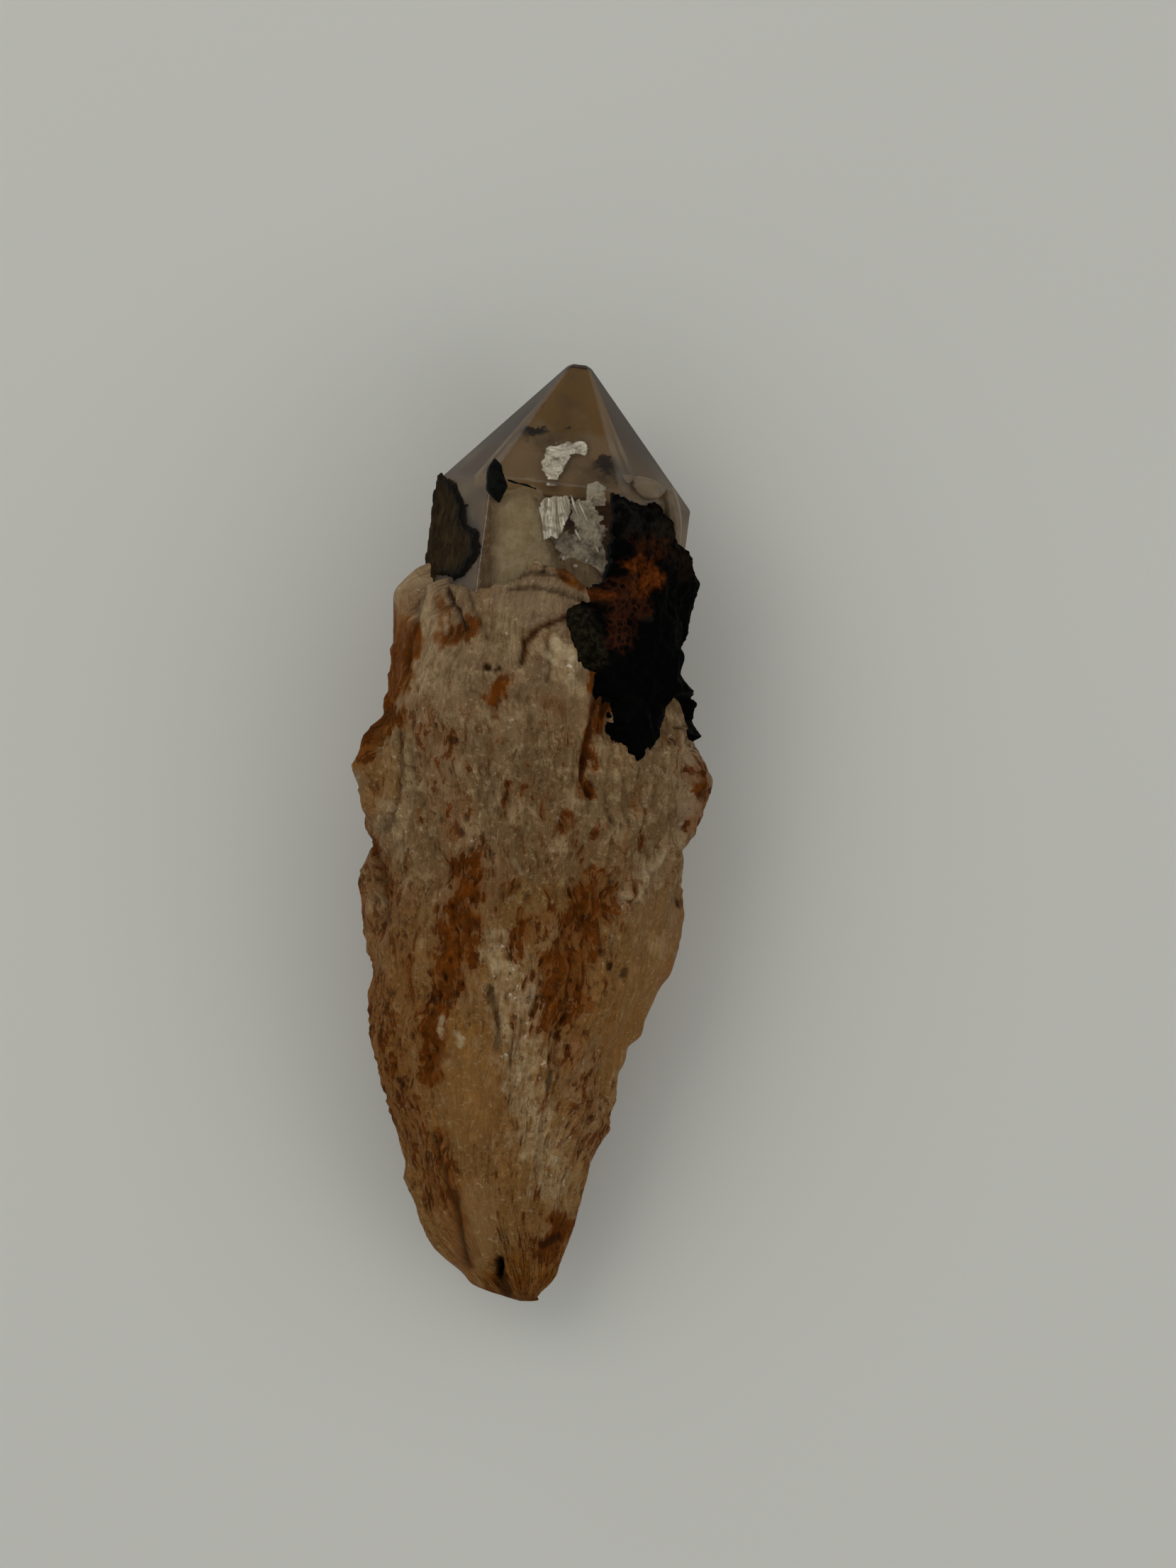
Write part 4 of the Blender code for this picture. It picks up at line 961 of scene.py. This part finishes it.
class CRYSTAL_OT_clear_point(bpy.types.Operator):
    """Builds the clear six-sided point, with slightly worn edges"""

    bl_idname = "crystal.clear_point"
    bl_label = "Clear point"

    def execute(self, context):
        points, quads = point_surface()
        piece = make_mesh("clear_point", points, quads, smooth=False)
        facing = np.empty(3 * len(piece.data.polygons), np.float32)
        piece.data.polygons.foreach_get("normal", facing)
        height = facing[2::3]
        satin = piece.data.attributes.new("satin", "FLOAT", "FACE")
        satin.data.foreach_set("value", ((height > 0.0) & (height < SATIN_RISE)).astype(np.float32))
        bevel = piece.modifiers.new("worn edges", "BEVEL")
        bevel.width = WORN_EDGE * MM
        bevel.segments = 3
        bevel.limit_method = "ANGLE"
        bevel.angle_limit = math.radians(20)
        finish_piece(piece, glass_finish(context.scene.crystal_point), "quartz", "quartz_crystal")
        return {"FINISHED"}


def make_lump(name, middle, half, degrees, power, roughness, seed, rows=40, columns=64):
    """A rounded lump: a sphere pulled to its half sizes, made blunter by the power, pushed in and out by noise, and
    turned about Z."""
    down = np.linspace(0.0, math.pi, rows)[:, None]
    turn = full_turn(columns)
    unit = (np.sin(down) * np.cos(turn), np.cos(down), np.sin(down) * np.sin(turn))
    unit = np.stack(np.broadcast_arrays(*unit), -1)
    unit = np.sign(unit) * np.abs(unit) ** power
    swell = 1.0 + roughness * layered_noise(unit * 1.7, 3, seed)
    places = turned(unit * swell[..., None] * half, degrees) + middle
    return closed_tube(name, places[1:-1], places[[0, -1], 0])


def sheet_inside(name, level, fall, crumple, ragged, seed, outline):
    """A crumpled thin sheet inside the clear point: a grid at height level - fall x (y - SHEET_LEVEL_AT), moved up
    and down by noise and kept inside a ragged outline on plan."""
    corners = np.reshape(outline, (-1, 2)) - (0.0, SHEET_SHIFT)
    (left, foot), (right, head) = corners.min(0) - 0.4, corners.max(0) + 0.4
    x, y = np.meshgrid(np.arange(left, right, SHEET_CELL), np.arange(foot, head, SHEET_CELL))
    flat = np.stack((x, y, level - fall * (y - SHEET_LEVEL_AT)), -1)
    outer = flat + crumple * layered_noise(flat / 0.9, 3, seed)[..., None] * UP
    inside = inside_outline(on_plan(flat), corners) + ragged * layered_noise(flat / 0.45, 3, seed + 50)
    return closed_sheet(name, outer, outer - SHEET_THICKNESS * UP, kept_cells(inside))


def sheet_under_face(name, degrees, start, end, depth, margin):
    """A thin sheet under one of the point's end faces, from a start to an end length below the tip: at a depth under
    the face, and as wide there as the face less the margin. Depth and margin are each a + b x length."""
    normal, level = face_axes(degrees)
    length, side = np.meshgrid(np.linspace(start, end, 30), np.linspace(-1.0, 1.0, 20), indexing="ij")
    face = TIP_APOTHEM + length * math.tan(END_SLOPE)
    reach = face - (depth[0] + depth[1] * length) / math.cos(END_SLOPE)
    half_width = (2.0 * np.minimum(face, APOTHEM) - reach) * math.tan(math.pi / 6) - margin[0] - margin[1] * length
    side = side * np.maximum(half_width, 0.05)
    places = TIP - length[..., None] * ALONG + reach[..., None] * normal + side[..., None] * level
    return closed_sheet(name, places, places - SHEET_THICKNESS * normal, np.ones((29, 19), bool))


def smoke_finish(name, tint):
    """Smoke in the clear quartz: a sheet that doesn't bend light and takes the same share of it wherever it is
    crossed."""
    return Finish(name).surface(tint, 0.0, {"IOR": SHEET_BEND, "Transmission Weight": 1.0})


def cloud_finish(name, outline):
    """Dark smoke that fades out from the middle of an outline on plan to its edge, in ragged wisps."""
    make = Finish(name)
    place = make.place()
    corners = np.reshape(outline, (-1, 2)) * MM
    middle, half = (corners.max(0) + corners.min(0)) / 2, (corners.max(0) - corners.min(0)) / 2
    from_middle = make.vector("SUBTRACT", place, (*middle, 0.0))
    share = make.vector("MULTIPLY", from_middle, (*1.0 / half, 0.0))
    wisps = make.fit(make.noise(place, 1300.0, 4.0, 0.65), 0.3, 0.7, -0.45, 0.45)
    dark = make.fit(make.sum("ADD", make.vector("LENGTH", share, output="Value"), wisps), 0.4, 1.0, 1.0, 0.0)
    base = make.mix(dark, (1.0, 1.0, 1.0), (0.25, 0.21, 0.07))
    return make.surface(base, 0.0, {"IOR": SHEET_BEND, "Transmission Weight": 1.0})


def smoke_and_light_finish(name):
    """A sheet under the front end face whose colour is partly the point's smoky brown and partly painted light,
    standing in for the light the point sends back from inside: pinker towards the foot, with darker patches. Part of
    the light goes through it.
    """
    make = Finish(name)
    place = make.place()
    tone = make.fit(make.noise(place, 420.0, 4.0, 0.6), 0.3, 0.7, -1.6 * MM, 1.6 * MM)
    level = make.sum("ADD", make.split(place)[1], tone)
    base = make.mix(make.fit(level, 30.2 * MM, 32.6 * MM), (0.52, 0.375, 0.2), (0.425, 0.242, 0.058))
    dark = make.fit(make.noise(place, 300.0, 4.0, 0.6), 0.48, 0.64, 0.0, 0.7)
    base = make.mix(dark, base, (0.24, 0.16, 0.07))
    return make.surface(base, 0.3, {"IOR": SHEET_BEND, "Transmission Weight": 0.4})


def fan_finish(name, low, high, focus):
    """White fracture rays that fan down from a focus on plan: noise over the slope of the line to the focus."""
    make = Finish(name)
    x, y, _ = make.split(make.place())
    slope = make.sum("DIVIDE", make.sum("SUBTRACT", x, focus[0] * MM), make.sum("SUBTRACT", focus[1] * MM, y))
    fan = make.add("ShaderNodeCombineXYZ", {0: make.times(slope, 15.0), 1: make.times(y, 260.0)}).outputs[0]
    ray = make.noise(fan, 1.0, 3.0, 0.6)
    base = make.mix(make.fit(ray, 0.42, 0.6), low, high)
    return make.surface(base, 0.35, {"Metallic": 0.6, "Normal": make.bump(ray, 0.15)})


def pearl_finish(name, low, high, roughness, metallic):
    """A fracture in clear quartz, which throws back light as a pearly skin does."""
    make = Finish(name)
    place = make.place()
    base = make.mix(make.fit(make.noise(place, 950.0, 5.0, 0.68), 0.38, 0.56), low, high)
    relief = make.bump(make.noise(place, 1600.0, 4.0, 0.6), 0.12)
    return make.surface(base, roughness, {"Metallic": metallic, "Normal": relief})


class CRYSTAL_OT_inclusions(bpy.types.Operator):
    """Builds what shows inside the clear point: pearly fractures, white rays and smoky clouds"""

    bl_idname = "crystal.inclusions"
    bl_label = "Inclusions"

    def execute(self, context):
        finishes = {
            "bright": pearl_finish("bright_fracture", (0.54, 0.49, 0.41), (1.0, 0.97, 0.88), 0.35, 0.55),
            "mid": pearl_finish("grey_fracture", (0.26, 0.22, 0.16), (0.7, 0.64, 0.53), 0.4, 0.1),
            "fan": fan_finish("fan_fracture", (0.42, 0.37, 0.28), (1.0, 0.96, 0.86), (1.5, 30.4)),
        }
        for name, finish, *shape in SHEETS:
            material = finishes.get(finish) or cloud_finish(name, shape[-1])
            finish_piece(sheet_inside(name, *shape), material, "quartz")
        for name, face, tint in FACE_SMOKE:
            sheet = sheet_under_face(name, face, 0.8, 10.2, (0.45, 0.0), (0.9, 0.15))
            finish_piece(sheet, smoke_finish(name, tint), "quartz")
        # Partly smoky colour and partly painted light: a tinted sheet under the front end face that stands in for the
        # light the point sends back from inside.
        smoke_and_light_sheet = sheet_under_face("tip_smoke_and_painted_light", 90.0, 0.3, 11.2, (0.3, 0.185), (0.02, 0.0))
        finish_piece(smoke_and_light_sheet, smoke_and_light_finish("tip_smoke_and_painted_light"), "quartz")
        for number, (middle, half_width, half_length, degrees) in enumerate(RAYS):
            half = (half_width, half_length, 0.05)
            ray = make_lump(f"white_ray_{number + 1}", middle, half, degrees, 1.0, 0.25, 101 + number, 24, 24)
            finish_piece(ray, finishes["bright"], "quartz")
        return {"FINISHED"}


class CRYSTAL_OT_clear_lobes(bpy.types.Operator):
    """Builds the rounded clear quartz that has grown over the upper edge of the crust"""

    bl_idname = "crystal.clear_lobes"
    bl_label = "Clear lobes"

    def execute(self, context):
        make = Finish("lobe_quartz")
        tone = make.fit(make.noise(make.place(), 600.0), 0.35, 0.65)
        base = make.mix(tone, (0.13, 0.088, 0.05), (0.2, 0.145, 0.085))
        finish = make.surface(base, 0.3, {"Specular IOR Level": 0.3})
        for number, shape in enumerate(LOBES):
            piece = make_lump(f"clear_lobe_{number + 1}", *shape, 0.9, 0.05, 81 + number)
            finish_piece(piece, finish, "quartz")
        return {"FINISHED"}


def crust_surface(settings):
    """The crust as an outer and an inner sheet on a polar grid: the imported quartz's radius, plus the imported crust's
    thickness softened, plus lumps, ridges and grain, kept inside the outline on plan and above the hidden edge."""
    distances = np.linspace(*CRUST_SPAN, CRUST_ROWS)
    angles = np.radians(np.linspace(*CRUST_ANGLES, CRUST_COLUMNS))
    middle, radius, proud = polar_grids(distances, angles, 20, "quartz_crystal", "iron_oxide_crust")
    thickness = blurred(np.where(proud > 0.0, np.maximum(proud - radius, 0.0), 0.0), 3.0, False)
    thickness = thickness / np.maximum(blurred(1.0 * (proud > 0.0), 3.0, False), 0.25)
    base = blurred(radius, 2.0, False)
    ground = ring_places(angles, distances, middle, base)
    plan = on_plan(ground)
    rim = np.exp(-((distance_to_line(plan, CRUST_RIM) / 1.2) ** 2))
    ragged = 0.2 * layered_noise(ground / 0.7, 3, 51) * (1.0 - 0.85 * rim)
    inside = inside_outline(plan, CRUST_OUTLINE) + ragged * smooth_step(plan[..., 0], 11.5, 9.5)
    low = np.interp(distances, LOW_EDGE[::2], LOW_EDGE[1::2])[:, None]
    inside = np.minimum(inside, (np.degrees(angles) - low) * 0.2 + 0.5 * ragged)
    rust, red, brown, grey, ash = marks(CRUST_MARKS, CRUST_RAGGED, plan, ragged).values()
    near, _, _ = cells(ground / (1.25, 1.6, 1.25), 52)
    fine_near, fine_after, _ = cells(ground / 0.62, 53)
    lumps = (0.5 - near) + 0.3 * (0.45 - fine_near)
    ridges = 1.0 - np.abs(noise(ground / (0.6, 3.2, 0.6), 54))
    relief = settings.relief * (1.1 * lumps + 0.55 * (ridges - 0.6)) * (1.0 - 0.7 * grey)
    raised = smooth_step(inside, -0.1, 0.8) * (0.15 + 0.85 * thickness + relief + 1.5 * rim)
    raised += (0.05 - 0.03 * grey) * layered_noise(ground / 0.22, 2, 55)
    outer = ring_places(angles, distances, middle, base + np.maximum(raised, -0.1))
    inner = ring_places(angles, distances, middle, base - CRUST_DEPTH)
    walls = red * smooth_step(fine_after - fine_near, 0.25, 0.05)
    attributes = {"stain": np.stack((rust, red, brown), -1), "tint": np.stack((grey, ash, walls), -1)}
    return outer, inner, kept_cells(inside, -0.05), attributes


def crust_finish(settings):
    """Rough black iron oxide with orange rust, reddish cells, brown and grey parts, and glints on its lumps."""
    make = Finish("iron_oxide")
    place = make.place()
    rust, red, brown = make.split(make.attribute("stain"))
    grey, ash, walls = make.split(make.attribute("tint"))
    grain = make.noise(place, 2300.0, 5.0, 0.7)
    patch = make.noise(place, 900.0, 4.0, 0.65)
    speckled = make.fit(grain, 0.4, 0.62)
    orange = make.mix(speckled, settings.rust, scaled(settings.rust, 2.1))
    base = make.over(
        make.mix(make.fit(patch, 0.5, 0.75), settings.black, scaled(settings.black, 5.0)),
        (make.times(brown, make.fit(patch, 0.38, 0.62)), (0.022, 0.01, 0.004)),
        (make.times(ash, make.fit(patch, 0.42, 0.66, 0.0, 0.9)), (0.02, 0.017, 0.011)),
        (make.times(red, make.fit(patch, 0.4, 0.6)), (0.03, 0.008, 0.003)),
        (walls, (0.05, 0.014, 0.005)),
        (make.times(rust, make.fit(patch, 0.36, 0.56)), orange),
        (grey, make.mix(speckled, (0.003, 0.0025, 0.0012), (0.022, 0.018, 0.009))),
    )
    rough = make.sum("ADD", make.fit(patch, 0.35, 0.65, 0.42, 0.75), make.times(rust, 0.25))
    relief = make.bump(grain, 0.05, normal=make.bump(patch, 0.09))
    return make.surface(base, rough, {"Normal": relief, "Specular IOR Level": 0.017})


class CRYSTAL_OT_crust(bpy.types.Operator):
    """Builds the black iron oxide crust on the right shoulder, with its rust and its grey fragment"""

    bl_idname = "crystal.crust"
    bl_label = "Iron oxide crust"

    def execute(self, context):
        settings = context.scene.crystal_crust
        outer, inner, keep, attributes = crust_surface(settings)
        piece = closed_sheet("black_crust", outer, inner, keep, **attributes)
        finish_piece(piece, crust_finish(settings), "iron_oxide", "iron_oxide_crust")
        return {"FINISHED"}


def film_surface():
    """The film: a grid over the left prism face of the point, kept inside its outline on plan and raised by woody
    streaks along the crystal: 0.12 + 0.035 x streaky noise + 0.06 x a number per block + 0.16 x a lip at its lower
    right edge."""
    normal, level = face_axes(30.0)
    side, down = np.meshgrid(np.linspace(-5.4, 5.4, FILM_COLUMNS), np.linspace(7.0, 21.5, FILM_ROWS))
    face = TIP + normal * APOTHEM + side[..., None] * level - down[..., None] * ALONG
    flat = np.stack((side, down, 0.0 * side), -1)
    plan = on_plan(face)
    inside = inside_outline(plan, FILM_OUTLINE) + 0.14 * layered_noise(face / 0.5, 3, 91)
    streaks = layered_noise(flat / (0.9, 1.8, 1.0), 3, 92)
    _, _, number = cells(flat / (0.8, 2.0, 1.0), 93)
    lip = np.exp(-(((inside - 0.25) / 0.3) ** 2)) * smooth_step(plan[..., 0], -8.4, -6.0)
    height = smooth_step(inside, -0.05, 0.3) * (0.12 + 0.035 * streaks + 0.06 * number + 0.16 * lip)
    tint = np.stack((lip, 0.5 + 0.5 * streaks, smooth_step(plan[..., 1], 24.0, 20.5)), -1)
    attributes = {"tint": tint, "grain": flat / (1.0, 1.6, 1.0)}
    return face + normal * height[..., None], face - normal * FILM_DEPTH, kept_cells(inside), attributes


def film_finish():
    """Dull brown-grey oxide with a woody grain, blacker at its thick edge."""
    make = Finish("oxide_film")
    place = make.place()
    lip = make.split(make.attribute("tint"))[0]
    grain = make.noise(make.attribute("grain"), 1.7, 6.0, 0.65, 0.6)
    speck = make.noise(place, 2400.0, 4.0, 0.7)
    patch = make.noise(place, 700.0, 4.0, 0.6)
    base = make.over(
        make.mix(make.fit(grain, 0.3, 0.7), (0.008, 0.0048, 0.0014), (0.034, 0.0195, 0.006)),
        (make.fit(patch, 0.5, 0.66, 0.0, 0.7), (0.058, 0.034, 0.011)),
        (make.fit(speck, 0.55, 0.72, 0.0, 0.6), (0.07, 0.045, 0.019)),
        (lip, (0.006, 0.0055, 0.005)),
    )
    relief = make.bump(speck, 0.05, normal=make.bump(grain, 0.05))
    rough = make.fit(speck, 0.3, 0.7, 0.5, 0.75)
    return make.surface(base, rough, {"Normal": relief, "Specular IOR Level": 0.03})


class CRYSTAL_OT_film(bpy.types.Operator):
    """Builds the dark oxide film on the left face of the point"""

    bl_idname = "crystal.film"
    bl_label = "Oxide film"

    def execute(self, context):
        outer, inner, keep, attributes = film_surface()
        piece = closed_sheet("woody_film", outer, inner, keep, **attributes)
        finish_piece(piece, film_finish(), "oxide_film", "left_oxide_film")
        return {"FINISHED"}


def make_grain():
    """The dark grain: a lens-shaped crystal with eight flat sides, as wide at each share of its half length as
    1 - |share| ^ 1.9."""
    share = np.linspace(-0.96, 0.96, 13)
    turn = full_turn(8) + 0.2
    wobble = 1.0 + 0.3 * noise(np.stack(np.meshgrid(np.cos(turn) * 2, share * 3, (0.0,)), -1)[:, :, 0], 95)
    width = (1.0 - np.abs(share) ** 1.9)[:, None] * wobble
    unit = np.stack((width * np.cos(turn), np.broadcast_to(share[:, None], width.shape), width * np.sin(turn)), -1)
    places = turned(unit * GRAIN_HALF, GRAIN_TURN) + GRAIN_MIDDLE
    return closed_tube("ore_grain", places, places[[0, -1]].mean(1), smooth=False)


def make_thread():
    """A thin tube of changing width along a bent line."""
    share = np.linspace(0.0, len(THREAD) - 1.0, 40)
    path = np.stack([np.interp(share, np.arange(len(THREAD)), values) for values in zip(*THREAD)], -1)
    width = 0.1 * (0.4 + 0.6 * np.abs(np.sin(share * 2.1 + 0.6)))
    turn = full_turn(8)
    ring = np.stack((0.0 * turn, np.cos(turn), np.sin(turn)), -1)
    return closed_tube("dark_thread", path[:, None] + width[:, None, None] * ring, path[[0, -1]])


class CRYSTAL_OT_grain(bpy.types.Operator):
    """Builds the greenish black mineral grain at the point's edge and the thin dark thread beside it"""

    bl_idname = "crystal.grain"
    bl_label = "Dark grain"

    def execute(self, context):
        make = Finish("dark_ore")
        tone = make.noise(make.place(), 1600.0, 4.0, 0.6)
        base = make.mix(make.fit(tone, 0.35, 0.65), (0.0012, 0.0014, 0.001), (0.006, 0.007, 0.004))
        finish = make.surface(base, 0.5, {"Normal": make.bump(tone, 0.08), "Specular IOR Level": 0.05})
        finish_piece(make_grain(), finish, "dark_mineral", "dark_grain")
        finish_piece(make_thread(), finish, "dark_mineral")
        return {"FINISHED"}


class CRYSTAL_OT_stage(bpy.types.Operator):
    """Makes the pale floor, the soft light and the camera that looks straight down"""

    bl_idname = "crystal.stage"
    bl_label = "Floor, light and camera"

    def execute(self, context):
        settings = context.scene.crystal_stage
        side = np.linspace(-FLOOR_HALF, FLOOR_HALF, 31)
        x, y = np.meshgrid(side, side)
        floor = make_mesh("floor", np.stack((x, y, 0.0 * x - FLOOR_DROP), -1), grid_quads(31, 31, False))
        make = Finish("pale_sheet")
        tone = make.fit(make.noise(make.place(), 9.0, 2.0), 0.3, 0.7)
        base = make.mix(tone, settings.floor, scaled(settings.floor, 0.97))
        floor.data.materials.append(make.surface(base, 0.7, {"Specular IOR Level": 0.25}))
        self.room(context, settings.sky)
        for name, place, size, share in LAMPS:
            self.lamp(context, name, place, size, settings.key * share)
        self.camera(context)
        context.scene.view_settings.view_transform = "Standard"
        return {"FINISHED"}

    def room(self, context, strength):
        """Even light from the sides, weaker from straight above and from below."""
        make = Finish("soft_room", "worlds")
        height = make.split(make.add("ShaderNodeTexCoord").outputs["Generated"])[2]
        above = make.fit(height, 0.78, 0.96, 1.0, 0.15, interpolation_type="SMOOTHSTEP")
        below = make.fit(height, 0.1, 0.5, 0.3 * strength, strength, interpolation_type="SMOOTHSTEP")
        glow = make.add("ShaderNodeBackground", {"Color": (0.96, 0.98, 1.0), "Strength": make.times(above, below)})
        make.add("ShaderNodeOutputWorld", {"Surface": glow.outputs[0]})
        context.scene.world = make.owner

    def lamp(self, context, name, place, size, power):
        """A round soft light that points at the crystal."""
        light = bpy.data.lights.new(name, "AREA")
        light.shape = "DISK"
        light.size = size * MM
        light.energy = power
        lamp = bpy.data.objects.new(name, light)
        lamp.location = [value * MM for value in place]
        x, y, z = np.array((0.0, 0.0, 10.0)) - place
        lamp.rotation_euler = (math.atan2(math.hypot(x, y), -z), 0.0, math.atan2(y, x) - math.pi / 2)
        context.scene.collection.objects.link(lamp)

    def camera(self, context):
        data = bpy.data.cameras.new("camera")
        data.sensor_width = SENSOR
        data.lens = SENSOR * (EYE[2] - PLAN_HEIGHT) / VIEW_HEIGHT
        data.clip_start = 5.0 * MM
        data.clip_end = 20.0
        camera = bpy.data.objects.new("camera", data)
        camera.location = EYE * MM
        context.scene.collection.objects.link(camera)
        context.scene.camera = camera


class CRYSTAL_PT_panel(bpy.types.Panel):
    """Lists the settings and the pieces of the crystal"""

    bl_idname = "CRYSTAL_PT_panel"
    bl_label = "Natural citrine crystal"
    bl_space_type = "VIEW_3D"
    bl_region_type = "UI"
    bl_category = "Crystal"

    def draw(self, context):
        layout = self.layout
        for name, kind in SETTINGS.items():
            box = layout.box()
            group = getattr(context.scene, name)
            for key in kind.__annotations__:
                box.prop(group, key)
        for operator in OPERATORS:
            layout.operator(operator.bl_idname)


SETTINGS = {
    "crystal_milky": MilkySettings,
    "crystal_point": PointSettings,
    "crystal_crust": CrustSettings,
    "crystal_stage": StageSettings,
}
OPERATORS = (
    CRYSTAL_OT_stage,
    CRYSTAL_OT_milky_body,
    CRYSTAL_OT_clear_point,
    CRYSTAL_OT_clear_lobes,
    CRYSTAL_OT_inclusions,
    CRYSTAL_OT_crust,
    CRYSTAL_OT_film,
    CRYSTAL_OT_grain,
)


def register():
    for kind in (*SETTINGS.values(), *OPERATORS, CRYSTAL_PT_panel):
        bpy.utils.register_class(kind)
    for name, kind in SETTINGS.items():
        setattr(bpy.types.Scene, name, bpy.props.PointerProperty(type=kind))


def unregister():
    for name in SETTINGS:
        delattr(bpy.types.Scene, name)
    for kind in (CRYSTAL_PT_panel, *reversed(OPERATORS), *reversed(SETTINGS.values())):
        bpy.utils.unregister_class(kind)


def main():
    register()
    bpy.ops.crystal.stage()
    bpy.ops.crystal.milky_body()
    bpy.ops.crystal.clear_point()
    bpy.ops.crystal.clear_lobes()
    bpy.ops.crystal.inclusions()
    bpy.ops.crystal.crust()
    bpy.ops.crystal.film()
    bpy.ops.crystal.grain()


if __name__ == "__main__":
    main()
